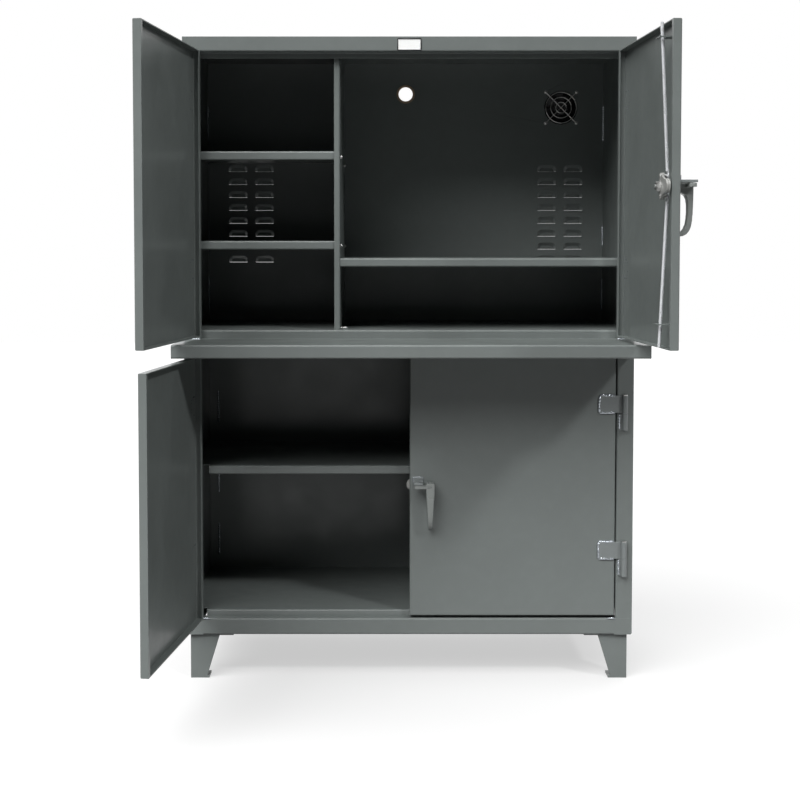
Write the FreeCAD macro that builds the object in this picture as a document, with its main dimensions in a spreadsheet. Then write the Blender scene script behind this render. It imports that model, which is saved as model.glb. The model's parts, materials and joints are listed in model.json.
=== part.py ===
import FreeCAD, Part
import math
import os
import Sketcher

# Welded steel computer cabinet: a desk-height lower cupboard, a projecting work surface and a tall upper
# cupboard, with four hinged doors, two three-point latches, a louvred back and an exhaust fan.
#
# Frame: millimetres, +Z up. The front faces -Y, and the origin is on the floor at the middle of the four
# feet.

Vector = FreeCAD.Vector

doc = FreeCAD.newDocument("computer_cabinet")
sheet = doc.addObject("Spreadsheet::Sheet", "Sizes")
sheet_rows = []
subparts = []


# ---------------------------------------------------------------------------------------------------------
# Sizes: each driving dimension is a cell of the sheet, and sums of them stay formulas
# ---------------------------------------------------------------------------------------------------------

class Size:
    """A length or angle: its value now, and the sheet formula that gives it."""

    def __init__(self, value, formula):
        self.value = float(value)
        self.formula = formula

    def __add__(self, other):
        other = as_size(other)
        return Size(self.value + other.value, f"({self.formula} + {other.formula})")

    def __sub__(self, other):
        other = as_size(other)
        return Size(self.value - other.value, f"({self.formula} - {other.formula})")

    def __mul__(self, factor):
        factor = as_size(factor)
        return Size(self.value * factor.value, f"({self.formula} * {factor.formula})")

    def __truediv__(self, divisor):
        divisor = as_size(divisor)
        return Size(self.value / divisor.value, f"({self.formula} / {divisor.formula})")

    def __neg__(self):
        return Size(-self.value, f"(0 - {self.formula})")

    def __radd__(self, other):
        return as_size(other) + self

    def __rsub__(self, other):
        return as_size(other) - self

    def __rmul__(self, other):
        return as_size(other) * self


def as_size(value):
    """Return a Size, also for a plain number."""
    if isinstance(value, Size):
        return value
    return Size(value, f"({value})")


def hypotenuse(rise, run):
    """Length of a slanted bar."""
    return Size(math.hypot(rise.value, run.value), f"hypot({rise.formula}; {run.formula})")


def other_side(slope, side):
    """Third side of a right triangle, from its longest side and one other."""
    length = math.sqrt(slope.value ** 2 - side.value ** 2)
    return Size(length, f"sqrt({slope.formula} ^ 2 - {side.formula} ^ 2)")


def slant(rise, run):
    """Angle of a slanted bar from the vertical, in degrees."""
    angle = math.degrees(math.atan(rise.value / run.value))
    return Size(angle, f"(atan({rise.formula} / {run.formula}) / 1 deg)")


def size(alias, value, meaning):
    """Write one driving dimension in the sheet and return it."""
    row = len(sheet_rows) + 1
    sheet.set(f"A{row}", meaning)
    sheet.set(f"B{row}", str(value))
    sheet.setAlias(f"B{row}", alias)
    sheet_rows.append(alias)
    return Size(value, f"Sizes.{alias}")


# The whole cabinet
width = size("width", 1220, "outside width")
body_depth = size("body_depth", 570, "outside depth of both cupboards")
height = size("height", 1746, "floor to top")
gauge = size("gauge", 2.66, "thickness of the sheet steel")
bend = size("bend", 2.4, "inside radius of a bend")
leg_height = size("leg_height", 123, "floor to underside of the body")
work_height = size("work_height", 933.5, "floor to top of the work surface")
work_overhang = size("work_overhang", 254, "how far the work surface stands out in front")
work_lip = size("work_lip", 35, "depth of the work surface's folded edge")
lip_return = size("lip_return", 15, "width of the folded edge's return")

# The door frames
stile_width = size("stile_width", 45.5, "width of a frame stile's face")
jamb_depth = size("jamb_depth", 24, "depth of the stile's return behind the face")
rail_height = size("rail_height", 45, "height of the bottom rail")
rail_return = size("rail_return", 32, "depth of the bottom rail's returns")
header_height = size("header_height", 40, "height of the header above the upper doors")
stop_setback = size("stop_setback", 25, "front face to the door stops")
stop_drop = size("stop_drop", 15.5, "how far the header's door stop hangs down")
lower_stop_drop = size("lower_stop_drop", 12, "top of the lower doors to the lower edge of their stop")
lower_sill = size("lower_sill", 18, "bottom rail to top of the lower floor")
upper_sill = size("upper_sill", 23, "work surface to top of the upper floor")
base_flange = size("base_flange", 30, "width of the side panels' bottom flanges")
floor_notch = size("floor_notch", 52.5, "front corner notch of the lower floor, across")
shelf_notch = size("shelf_notch", 58.5, "front corner notch of the lower shelf, across")
notch_depth = size("notch_depth", 24, "front corner notches, front to back")

# Shelves and divider
shelf_lip = size("shelf_lip", 24, "height of a shelf's front edge")
shelf_return = size("shelf_return", 12, "width of the return under a shelf's front edge")
shelf_end_flange = size("shelf_end_flange", 22, "height of a storage shelf's bolted end flange")
storage_high_up = size("storage_high_up", 509, "work surface to top of the higher storage shelf")
storage_low_up = size("storage_low_up", 265.5, "work surface to top of the lower storage shelf")
monitor_shelf_up = size("monitor_shelf_up", 218.5, "work surface to top of the monitor shelf")
lower_shelf_up = size("lower_shelf_up", 396, "lower floor to top of the shelf above it")
divider_setback = size("divider_setback", 36, "front face to the divider's front edge")
divider_place = size("divider_place", -187.5, "right face of the divider, from the middle")
divider_edge = size("divider_edge", 16, "width of the divider's folded front edge")
divider_tab = size("divider_tab", 22, "length and width of the divider's foot tab")

# Legs
leg_plate = size("leg_plate", 118, "side of a leg's top plate")
leg_steel = size("leg_steel", 4.75, "thickness of a leg's steel")
leg_inset = size("leg_inset", 11.5, "side of the body to a leg's outer face")
leg_top_width = size("leg_top_width", 79.5, "width of a leg's face at the top")
leg_foot_width = size("leg_foot_width", 45, "width of a leg's face at the foot")
foot_side = size("foot_side", 51, "side of a foot plate")
foot_steel = size("foot_steel", 6, "thickness of a foot plate")
anchor_hole = size("anchor_hole", 5.5, "radius of a foot's anchor hole")
anchor_inset = size("anchor_inset", 22, "anchor hole to the leg's inner faces")

# Doors
door_depth = size("door_depth", 21, "depth of a door pan")
door_proud = size("door_proud", 0.5, "door face in front of the frame")
door_lip = size("door_lip", 14, "width of the return lips on a door's upright edges")
side_gap = size("side_gap", 3, "door to stile")
centre_gap = size("centre_gap", 4, "between a pair of doors")
upper_top_gap = size("upper_top_gap", 3, "upper door to header")
upper_bottom_gap = size("upper_bottom_gap", 9, "upper door to work surface")
lower_top_gap = size("lower_top_gap", 8.5, "lower door to the work surface's folded edge")
lower_bottom_gap = size("lower_bottom_gap", 7.6, "lower door to bottom rail")
upper_left_angle = size("upper_left_angle", 96.9, "rest angle of the upper left door, in degrees")
upper_right_angle = size("upper_right_angle", 93.5, "rest angle of the upper right door, in degrees")
lower_left_angle = size("lower_left_angle", 96.3, "rest angle of the lower left door, in degrees")
lower_right_angle = size("lower_right_angle", 0, "rest angle of the lower right door, in degrees")

# Hinges
hinge_out = size("hinge_out", 10.5, "frame face to hinge axis")
hinge_inset = size("hinge_inset", 25, "side of the body to hinge axis")
hinge_end = size("hinge_end", 110, "end of a door to the nearest end of its hinge")
knuckle_height = size("knuckle_height", 47, "height of a hinge knuckle")
knuckle_radius = size("knuckle_radius", 8, "outside radius of a hinge knuckle")
knuckle_gap = size("knuckle_gap", 0.4, "between the two knuckles of a hinge")
pin_radius = size("pin_radius", 5, "radius of a hinge pin")
pin_head = size("pin_head", 2.5, "height of a hinge pin's head")
running = size("running", 0.08, "radial clearance of a running fit")
strap_length = size("strap_length", 67, "hinge axis to the end of the door's strap")
strap_steel = size("strap_steel", 4.75, "thickness of a strap and of a frame leaf")
leaf_length = size("leaf_length", 12, "hinge axis to the end of the frame leaf")

# Latches
spindle_inset = size("spindle_inset", 55, "free edge of the door to the latch spindle")
spindle_radius = size("spindle_radius", 7, "radius of the latch spindle")
spindle_square = size("spindle_square", 9, "side of the spindle's square end")
hub_radius = size("hub_radius", 12, "radius of the handle's hub")
cam_plane = size("cam_plane", 26, "door face to the cam's front")
cam_steel = size("cam_steel", 4, "thickness of the cam")
cam_hub = size("cam_hub", 17, "radius of the cam's middle")
cam_throw = size("cam_throw", 23, "spindle to each rod's rivet")
cam_lobe = size("cam_lobe", 9, "radius of a rod lobe")
bolt_reach = size("bolt_reach", 63, "spindle to the tip of the cam's bolt arm")
bolt_radius = size("bolt_radius", 16.5, "radius of the bolt arm's round end")
rivet_radius = size("rivet_radius", 3, "radius of a rod rivet")
rivet_head = size("rivet_head", 5, "radius of a rivet's heads")
head_height = size("head_height", 2, "height of a rivet's head")
nut_radius = size("nut_radius", 8.5, "radius of the spindle's nut")
nut_height = size("nut_height", 7, "height of the spindle's nut")
spindle_stub = size("spindle_stub", 11, "spindle beyond the nut")
rod_radius = size("rod_radius", 4, "radius of a latch rod")
rod_plane = size("rod_plane", 17, "door face to a rod's axis at its rivet")
rod_spread = size("rod_spread", 33.4, "door face to a rod's axis at its tip")
eye_steel = size("eye_steel", 3.4, "thickness of a rod's flattened eye")
eye_neck = size("eye_neck", 12, "rivet to where the round rod starts")
rod_slot = size("rod_slot", 10, "half length of the slots that a rod runs in")
rod_clear = size("rod_clear", 2.2, "a rod to the long side of its slot")
rod_lock_high = size("rod_lock_high", 11.5, "top rods' tips above the lower edge of their stops")
rod_lock_low = size("rod_lock_low", 9.5, "bottom rods' tips below the top of the floors")
guide_top = size("guide_top", 38, "door's top to its upper rod guide")
guide_bottom = size("guide_bottom", 60, "door's bottom to its lower rod guide")
guide_width = size("guide_width", 40, "width of a rod guide")
guide_reach = size("guide_reach", 40, "depth of a rod guide")
guide_base = size("guide_base", 18, "height of a rod guide's welded leg")

# Handle and padlock hasp, out from the door's face and up from the spindle
handle_clear = size("handle_clear", 1.5, "handle to the door's face")
handle_top = size("handle_top", 12, "top of the handle above the spindle")
handle_drop = size("handle_drop", 117, "spindle to the handle's tip")
handle_out = size("handle_out", 42, "door face to the front of the grip")
grip_depth = size("grip_depth", 14, "front to back of the grip")
grip_width = size("grip_width", 23.4, "width of the handle's top")
tip_width = size("tip_width", 8, "width of the handle's tip")
lug_height = size("lug_height", 9, "thickness of the handle's padlock lug")
lug_out = size("lug_out", 20, "front to back of the padlock lug")
hasp_near = size("hasp_near", 19.6, "spindle to the near side of the hasp")
hasp_far = size("hasp_far", 45.3, "spindle to the far side of the hasp")
hasp_rise = size("hasp_rise", 8, "spindle to the underside of the hasp")
hasp_steel = size("hasp_steel", 6, "thickness of the hasp")
hasp_out = size("hasp_out", 43, "door face to the hasp's front")
hasp_base = size("hasp_base", 16, "height of the hasp's welded leg")
padlock_radius = size("padlock_radius", 5, "radius of the padlock hole")

# Back: louvres, cable hole and fan
louvre_length = size("louvre_length", 64, "length of a louvre at the panel")
louvre_tip_length = size("louvre_tip_length", 48, "length of a louvre's outermost face")
louvre_rise = size("louvre_rise", 23, "height of a louvre at the panel")
louvre_tip_rise = size("louvre_tip_rise", 13, "height of a louvre's outermost face")
louvre_out = size("louvre_out", 9, "how far a louvre stands out behind")
louvre_skin = size("louvre_skin", 2, "thickness of a louvre's hood")
louvre_pitch = size("louvre_pitch", 0.049, "louvre to louvre, up, as a share of the upper cupboard's height")
louvre_step = size("louvre_step", 81, "louvre to louvre, across")
louvre_rows = size("louvre_rows", 8, "rows of louvres")
louvre_up = size("louvre_up", 0.25, "work surface to the lowest louvre, as a share of that height")
louvre_inset = size("louvre_inset", 135, "side of the body to the middle of a louvre group")
cable_radius = size("cable_radius", 24, "radius of the cable hole")
cable_down = size("cable_down", 95, "top of the body to the middle of the cable hole")
grommet_wall = size("grommet_wall", 2.5, "wall of the grommet")
grommet_flange = size("grommet_flange", 4, "how far the grommet's flanges cover the sheet")
fan_side = size("fan_side", 112, "side of the fan's housing")
fan_depth = size("fan_depth", 38, "depth of the fan's housing")
fan_pitch = size("fan_pitch", 94, "fan screw to fan screw")
fan_bore = size("fan_bore", 51, "radius of the fan's duct")
fan_inset = size("fan_inset", 133, "side of the body to the fan's middle")
fan_down = size("fan_down", 136, "top of the body to the fan's middle")
fan_hub = size("fan_hub", 21, "radius of the fan's hub")
fan_tip_gap = size("fan_tip_gap", 2, "blade tips to the duct")
blade_steel = size("blade_steel", 1.6, "thickness of a fan blade")
blade_chord = size("blade_chord", 38, "width of a fan blade along its slope")
blade_pitch = size("blade_pitch", 60, "fan blades to the fan's axis, in degrees")
fan_screw = size("fan_screw", 2.2, "radius of a fan screw")
wire_radius = size("wire_radius", 1.3, "radius of the fan guard's wire")
foam_side = size("foam_side", 104, "side of the fan filter's foam")
foam_thick = size("foam_thick", 5, "thickness of the fan filter's foam")
filter_wall = size("filter_wall", 2, "thickness of the filter frame behind the foam")
filter_bar = size("filter_bar", 3, "width of the filter frame's bars")

# Small pieces
plate_width = size("plate_width", 63, "width of the blank name plate")
plate_height = size("plate_height", 31, "height of the blank name plate")
plate_steel = size("plate_steel", 0.8, "thickness of the blank name plate")
plate_rivet = size("plate_rivet", 1.6, "radius of a name plate rivet")
screw_radius = size("screw_radius", 3, "radius of a shelf bolt")
screw_head = size("screw_head", 6, "radius of a shelf bolt's head and nut")
screw_thick = size("screw_thick", 4, "height of a shelf bolt's head and nut")
bracket_leg = size("bracket_leg", 25, "leg of a shelf bracket")
bracket_length = size("bracket_length", 60, "length of a shelf bracket")

# Planes that several pieces share
half = width / 2
inside = half - gauge
front = -body_depth / 2
back = body_depth / 2
back_inside = back - gauge
opening = half - stile_width
rail_top = leg_height + rail_height
lower_floor_top = rail_top + lower_sill
work_under = work_height - gauge
flange_clear = leg_height + gauge + bend
work_front = front - work_overhang
work_lip_bottom = work_height - work_lip
upper_floor_top = work_height + upper_sill
header_bottom = height - header_height
stop_face = front + stop_setback
shelf_front = front + divider_setback + gauge + bend
lower_shelf_top = lower_floor_top + lower_shelf_up
storage_shelf_low = work_height + storage_low_up
storage_shelf_high = work_height + storage_high_up
monitor_shelf_top = work_height + monitor_shelf_up
cupboard_rise = height - work_height
louvre_first = work_height + cupboard_rise * louvre_up
louvre_gap = cupboard_rise * louvre_pitch
louvre_centre = half - louvre_inset
cable_up = height - cable_down
fan_across = half - fan_inset
fan_up = height - fan_down
hinge_x = half - hinge_inset
hinge_y = front - hinge_out
same_place = 0.01
doc.recompute()


# ---------------------------------------------------------------------------------------------------------
# Helpers
# ---------------------------------------------------------------------------------------------------------

def ordered(first, second):
    """Return two sizes, the lower one first."""
    if first.value <= second.value:
        return first, second
    return second, first


def bind(item, name, value):
    """Tie one property of an object to the sheet."""
    item.setExpression(name, as_size(value).formula)


def origin_feature(body, role):
    """Return one of a body's own origin planes or axes."""
    for feature in body.Origin.OriginFeatures:
        if feature.Role == role:
            return feature
    raise ValueError(role)


def new_body(label):
    """Start a PartDesign body."""
    body = doc.addObject("PartDesign::Body", label)
    body.Label = label
    return body


def new_sketch(body, role, offset):
    """Start a sketch on an origin plane of the body, moved along the plane's normal."""
    offset = as_size(offset)
    sketch = body.newObject("Sketcher::SketchObject", body.Name + "_sketch")
    sketch.AttachmentSupport = [(origin_feature(body, role), "")]
    sketch.MapMode = "FlatFace"
    sketch.AttachmentOffset = FreeCAD.Placement(Vector(0, 0, offset.value), FreeCAD.Rotation())
    bind(sketch, "AttachmentOffset.Base.z", offset)
    return sketch


def pin_point(sketch, index, end, place):
    """Dimension one point of a sketch from the sketch's origin."""
    for kind, value in zip(("DistanceX", "DistanceY"), place):
        value = as_size(value)
        number = sketch.addConstraint(Sketcher.Constraint(kind, -1, 1, index, end, value.value))
        sketch.setExpression(f"Constraints[{number}]", value.formula)


def draw_polygon(sketch, corners):
    """Draw a closed outline with each corner dimensioned."""
    points = [Vector(as_size(u).value, as_size(v).value, 0) for u, v in corners]
    first = sketch.GeometryCount
    for start, end in zip(points, points[1:] + points[:1]):
        sketch.addGeometry(Part.LineSegment(start, end))
    count = len(points)
    for number in range(count):
        follower = (number + 1) % count
        sketch.addConstraint(Sketcher.Constraint("Coincident", first + number, 2, first + follower, 1))
    for number, corner in enumerate(corners):
        pin_point(sketch, first + number, 1, corner)


def draw_circle(sketch, centre, radius):
    """Draw a circle with its centre and radius dimensioned."""
    middle = Vector(as_size(centre[0]).value, as_size(centre[1]).value, 0)
    index = sketch.addGeometry(Part.Circle(middle, Vector(0, 0, 1), radius.value))
    pin_point(sketch, index, 3, centre)
    number = sketch.addConstraint(Sketcher.Constraint("Radius", index, radius.value))
    sketch.setExpression(f"Constraints[{number}]", radius.formula)


def rectangle(u_span, v_span):
    """Return the four corners of a rectangle."""
    u_low, u_high = ordered(*u_span)
    v_low, v_high = ordered(*v_span)
    return [(u_low, v_low), (u_high, v_low), (u_high, v_high), (u_low, v_high)]


def pad(body, role, outline, span):
    """Extrude an outline over a span along the plane's axis."""
    low, high = ordered(as_size(span[0]), as_size(span[1]))
    start = -high if role == "XZ_Plane" else low
    sketch = new_sketch(body, role, start)
    draw_polygon(sketch, outline)
    feature = body.newObject("PartDesign::Pad", body.Name + "_pad")
    feature.Profile = sketch
    feature.Refine = True
    bind(feature, "Length", high - low)
    doc.recompute()
    return feature


def loft(body, kind, near, far):
    """Add or take away a straight-sided form between two upright outlines, each with its place in depth."""
    sketches = []
    for outline, depth in (near, far):
        sketch = new_sketch(body, "XZ_Plane", -depth)
        draw_polygon(sketch, outline)
        sketches.append(sketch)
    feature = body.newObject(kind, body.Name + "_loft")
    feature.Profile = sketches[0]
    feature.Sections = sketches[1:]
    feature.Ruled = True
    doc.recompute()
    return feature


def pocket(body, role, outlines, circles, span):
    """Cut outlines and circles through a span along the plane's axis."""
    low, high = ordered(as_size(span[0]), as_size(span[1]))
    before = body.Shape.Volume
    start = -low if role == "XZ_Plane" else high
    sketch = new_sketch(body, role, start)
    for outline in outlines:
        draw_polygon(sketch, outline)
    for centre, radius in circles:
        draw_circle(sketch, centre, radius)
    feature = body.newObject("PartDesign::Pocket", body.Name + "_pocket")
    feature.Profile = sketch
    bind(feature, "Length", high - low)
    doc.recompute()
    if not body.Shape.Volume < before:
        raise RuntimeError(f"a pocket of {body.Label} cuts nothing")
    return feature


def round_edges(body, chosen, radius):
    """Fillet the straight edges of a body that the test picks."""
    base = body.Tip
    names = []
    for number, edge in enumerate(base.Shape.Edges, start=1):
        ends = [vertex.Point for vertex in edge.Vertexes]
        if len(ends) == 2 and chosen(ends[0], ends[1]):
            names.append(f"Edge{number}")
    if not names:
        raise RuntimeError(f"no edge of {body.Label} to round")
    fillet = body.newObject("PartDesign::Fillet", body.Name + "_bends")
    fillet.Base = (base, names)
    bind(fillet, "Radius", radius)
    doc.recompute()
    if "Invalid" in fillet.State:
        raise RuntimeError(f"the bends of {body.Label} failed")


def runs_through(role, corner):
    """Return a test for edges square to a plane, through one point of it."""
    names = {"XY_Plane": ("x", "y", "z"), "XZ_Plane": ("x", "z", "y"), "YZ_Plane": ("y", "z", "x")}[role]
    place = (as_size(corner[0]).value, as_size(corner[1]).value)

    def chosen(start, end):
        if abs(getattr(start, names[2]) - getattr(end, names[2])) < 1:
            return False
        for point in (start, end):
            if abs(getattr(point, names[0]) - place[0]) > same_place:
                return False
            if abs(getattr(point, names[1]) - place[1]) > same_place:
                return False
        return True

    return chosen


def bent_sheet(label, role, path, side, span):
    """Fold a sheet: a square-cornered path of one skin, thickened to one side, with rounded bends."""
    body = new_body(label)
    path = [(as_size(u), as_size(v)) for u, v in path]
    runs = []
    for start, end in zip(path, path[1:]):
        step = (end[0].value - start[0].value, end[1].value - start[1].value)
        length = math.hypot(*step)
        runs.append((round(step[0] / length), round(step[1] / length)))
    normals = [(-run[1] * side, run[0] * side) for run in runs]
    skin = []
    bends = []
    for number, (u, v) in enumerate(path):
        beside = normals[max(number - 1, 0)], normals[min(number, len(normals) - 1)]
        shift = beside[0]
        if beside[0] != beside[1]:
            shift = (beside[0][0] + beside[1][0], beside[0][1] + beside[1][1])
            turn = runs[number - 1][0] * runs[number][1] - runs[number - 1][1] * runs[number][0]
            bends.append((number, turn * side))
        skin.append((u + gauge * shift[0], v + gauge * shift[1]))
    pad(body, role, path + skin[::-1], span)
    outer = [path[number] if turn > 0 else skin[number] for number, turn in bends]
    inner = [skin[number] if turn > 0 else path[number] for number, turn in bends]
    outer_tests = [runs_through(role, corner) for corner in outer]
    inner_tests = [runs_through(role, corner) for corner in inner]
    round_edges(body, lambda start, end: any(test(start, end) for test in outer_tests), bend + gauge)
    round_edges(body, lambda start, end: any(test(start, end) for test in inner_tests), bend)
    return body


def block(x_span, y_span, z_span):
    """Return a box between two planes each way."""
    item = doc.addObject("Part::Box", "block")
    lows = []
    for name, span in zip(("Length", "Width", "Height"), (x_span, y_span, z_span)):
        low, high = ordered(as_size(span[0]), as_size(span[1]))
        bind(item, name, high - low)
        lows.append(low)
    place(item, lows)
    return item


TURNS = {
    "x": FreeCAD.Rotation(Vector(0, 1, 0), 90),
    "y": FreeCAD.Rotation(Vector(1, 0, 0), -90),
    "z": FreeCAD.Rotation(),
}


def round_bar(axis, start, radius, length):
    """Return a cylinder that runs from a point along +x, +y or +z."""
    item = doc.addObject("Part::Cylinder", "round_bar")
    bind(item, "Radius", radius)
    bind(item, "Height", length)
    item.Placement = FreeCAD.Placement(Vector(), TURNS[axis])
    place(item, start)
    return item


def place(item, base):
    """Tie an object's position to the sheet."""
    for name, value in zip("xyz", base):
        bind(item, f"Placement.Base.{name}", value)


def fuse(items):
    """Join shapes into one object; shapes that lie apart stay separate solids."""
    item = doc.addObject("Part::MultiFuse", "joined")
    item.Shapes = items
    item.Refine = True
    return item


def cut(item, tools):
    """Take tools away from an object."""
    result = doc.addObject("Part::Cut", "cut")
    result.Base = item
    result.Tool = tools[0] if len(tools) == 1 else fuse(tools)
    result.Refine = True
    return result


def group(items):
    """Hold separate solids in one object."""
    item = doc.addObject("Part::Compound", "group")
    item.Links = items
    return item


def finish(item, label):
    """Name a sub-part and list it for output."""
    item.Label = label
    subparts.append(item)
    return item


# ---------------------------------------------------------------------------------------------------------
# Welded shell
# ---------------------------------------------------------------------------------------------------------

def lower_side(sign, label):
    """Side panel of the lower cupboard, with a flange for the legs, notched for the bottom rail."""
    path = [(half * sign, work_under), (half * sign, leg_height), ((half - base_flange) * sign, leg_height)]
    body = bent_sheet(label, "XZ_Plane", path, -sign, (front, back))
    notch = rectangle((inside * sign, (half - base_flange * 2) * sign), (leg_height - gauge, flange_clear))
    pocket(body, "XZ_Plane", [notch], [], (front - gauge, front + gauge))
    finish(body, label)


def upper_side(sign, label):
    """Flat side panel of the upper cupboard."""
    body = new_body(label)
    outline = rectangle((half * sign, inside * sign), (front, back))
    pad(body, "XY_Plane", outline, (work_height, height - gauge))
    finish(body, label)


def stile(sign, low, high, label):
    """Upright of the door frame: a face and a return that lines the opening."""
    path = [(inside * sign, front), (opening * sign, front), (opening * sign, front + jamb_depth)]
    body = bent_sheet(label, "XY_Plane", path, -sign, (low, high))
    finish(body, label)


def end_tabs(body, low, high):
    """Flat ends of a rail, which close the corners of the door frame in one plane with the stiles."""
    for sign in (1, -1):
        outline = rectangle(((opening - gauge) * sign, inside * sign), (low, high))
        pad(body, "XZ_Plane", outline, (front, front + gauge))


def bottom_rail():
    """Channel across the bottom of the lower door opening."""
    depth = front + rail_return
    path = [(depth, leg_height), (front, leg_height), (front, rail_top), (depth, rail_top)]
    body = bent_sheet("bottom_rail", "YZ_Plane", path, -1, (-opening, opening))
    end_tabs(body, leg_height, rail_top)
    finish(body, "bottom_rail")


def header():
    """Rail above the upper doors, returned to a door stop that the latch rod goes behind."""
    path = [(front, height - gauge), (front, header_bottom), (stop_face, header_bottom),
            (stop_face, header_bottom - stop_drop)]
    body = bent_sheet("header", "YZ_Plane", path, 1, (-opening, opening))
    end_tabs(body, header_bottom, height - gauge)
    finish(body, "header")


def lower_header():
    """Angle under the work surface, the upper stop of the lower doors."""
    path = [(stop_face + rail_return, work_under), (stop_face, work_under),
            (stop_face, lower_high - lower_stop_drop)]
    finish(bent_sheet("lower_header", "YZ_Plane", path, 1, (-inside, inside)), "lower_header")


def top_panel():
    """Flat top sheet that lies on the sides, back and header."""
    body = new_body("top_panel")
    pad(body, "XY_Plane", rectangle((-half, half), (front, back)), (height - gauge, height))
    finish(body, "top_panel")


def work_surface():
    """Desk top that runs right through the cabinet, with folded edges where it stands out."""
    path = [(back, work_height), (work_front, work_height), (work_front, work_lip_bottom),
            (work_front + lip_return, work_lip_bottom)]
    body = bent_sheet("work_surface", "YZ_Plane", path, 1, (-half, half))
    edge = rectangle((work_front + gauge, front), (work_lip_bottom, work_under))
    pad(body, "YZ_Plane", edge, (inside, half))
    pad(body, "YZ_Plane", edge, (-half, -inside))
    finish(body, "work_surface")


def lower_back():
    """Flat back of the lower cupboard."""
    body = new_body("lower_back")
    pad(body, "XY_Plane", rectangle((-inside, inside), (back_inside, back)), (flange_clear, work_under))
    finish(body, "lower_back")


def floor_sheet(label, bottom, top):
    """Floor whose front edge folds down as a door stop, slotted for the latch's bottom rod."""
    path = [(stop_face, bottom), (stop_face, top), (back_inside, top)]
    body = bent_sheet(label, "YZ_Plane", path, -1, (-inside, inside))
    slot = rectangle((latch_x - rod_slot, latch_x + rod_slot),
                     (rod_tip_y - rod_radius - rod_clear / 2, rod_tip_y + rod_radius + rod_clear / 2))
    pocket(body, "XY_Plane", [slot], [], (top - gauge * 2, top + gauge))
    return body


def notch_corners(body, notch, face, low, high):
    """Cut both front corners of a sheet so that it passes the stiles."""
    for sign in (1, -1):
        outline = rectangle(((inside - notch) * sign, half * sign), (face - gauge, face + notch_depth))
        pocket(body, "XY_Plane", [outline], [], (low - gauge, high + gauge))


def louvre_outline(column, foot, reach, rise):
    """Outline of a louvre at one depth: straight along the foot, with round shoulders."""
    shoulders = ((1, 0.45), (0.86, 0.82), (0.62, 1))
    right = [(column + reach * share, foot + rise * up) for share, up in shoulders]
    left = [(column - reach * share, foot + rise * up) for share, up in shoulders[::-1]]
    return [(column - reach, foot), (column + reach, foot)] + right + left


def upper_back():
    """Back of the upper cupboard, with louvres, a cable hole and the fan's duct."""
    body = new_body("upper_back")
    pad(body, "XY_Plane", rectangle((-inside, inside), (back_inside, back)), (work_height, height - gauge))
    column = louvre_centre - louvre_step / 2
    reach = louvre_length / 2
    tip_reach = louvre_tip_length / 2
    skin = louvre_skin
    near = louvre_outline(column, louvre_first, reach, louvre_rise)
    far = louvre_outline(column, louvre_first, tip_reach, louvre_tip_rise)
    outside = loft(body, "PartDesign::AdditiveLoft", (near, back - gauge / 2), (far, back + louvre_out))
    near = louvre_outline(column, louvre_first, reach - skin, louvre_rise - skin)
    far = louvre_outline(column, louvre_first - skin * 2, tip_reach - skin, louvre_tip_rise + skin)
    before = body.Shape.Volume
    opened = loft(body, "PartDesign::SubtractiveLoft", (near, back_inside - gauge / 2),
                  (far, back + louvre_out - skin))
    if not body.Shape.Volume < before:
        raise RuntimeError("a louvre has no mouth")
    patterns = doc.addObject("PartDesign::MultiTransform", "louvre_grid")
    body.addObject(patterns)
    patterns.Originals = [outside, opened]
    upward = pattern(body, "Z_Axis", louvre_gap, louvre_rows)
    across = pattern(body, "X_Axis", louvre_step, as_size(2))
    mirrored = doc.addObject("PartDesign::Mirrored", "louvre_mirror")
    mirrored.MirrorPlane = (origin_feature(body, "YZ_Plane"), [""])
    body.addObject(mirrored)
    patterns.Transformations = [upward, across, mirrored]
    body.Tip = patterns
    doc.recompute()
    screw_places = [(fan_across + fan_pitch * sx / 2, fan_up + fan_pitch * sz / 2)
                    for sx in (-1, 1) for sz in (-1, 1)]
    holes = [((as_size(0), cable_up), cable_radius), ((fan_across, fan_up), fan_bore)]
    holes += [(middle, fan_screw + running) for middle in screw_places]
    pocket(body, "XZ_Plane", [], holes, (back_inside - gauge, back + gauge))
    finish(body, "upper_back")


def pattern(body, axis, step, count):
    """Return a straight pattern for the louvre grid."""
    feature = doc.addObject("PartDesign::LinearPattern", "louvre_pattern")
    feature.Direction = (origin_feature(body, axis), [""])
    feature.Mode = "Spacing"
    bind(feature, "Offset", step)
    bind(feature, "Occurrences", count)
    body.addObject(feature)
    return feature


def shell():
    """All panels that are welded together."""
    for sign, name in ((-1, "left"), (1, "right")):
        lower_side(sign, f"lower_side_{name}")
        upper_side(sign, f"upper_side_{name}")
        stile(sign, rail_top, work_under, f"lower_stile_{name}")
        stile(sign, work_height, header_bottom, f"upper_stile_{name}")
    bottom_rail()
    header()
    lower_header()
    top_panel()
    work_surface()
    lower_back()
    upper_back()
    lower_floor = floor_sheet("lower_floor", rail_top, lower_floor_top)
    notch_corners(lower_floor, floor_notch, stop_face, rail_top, lower_floor_top)
    finish(lower_floor, "lower_floor")
    finish(floor_sheet("upper_floor", work_height, upper_floor_top), "upper_floor")


# ---------------------------------------------------------------------------------------------------------
# Divider and shelves
# ---------------------------------------------------------------------------------------------------------

def divider():
    """Upright that parts the storage bay from the monitor bay, with a tab that screws to the floor."""
    face = front + divider_setback
    path = [(divider_place - divider_edge, face), (divider_place, face), (divider_place, back_inside)]
    body = bent_sheet("divider", "XY_Plane", path, 1, (upper_floor_top, height - gauge))
    tab = rectangle((divider_place - gauge, divider_place + divider_tab),
                    (face + divider_tab, face + divider_tab * 3))
    pad(body, "XY_Plane", tab, (upper_floor_top, upper_floor_top + gauge))
    finish(body, "divider")


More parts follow.
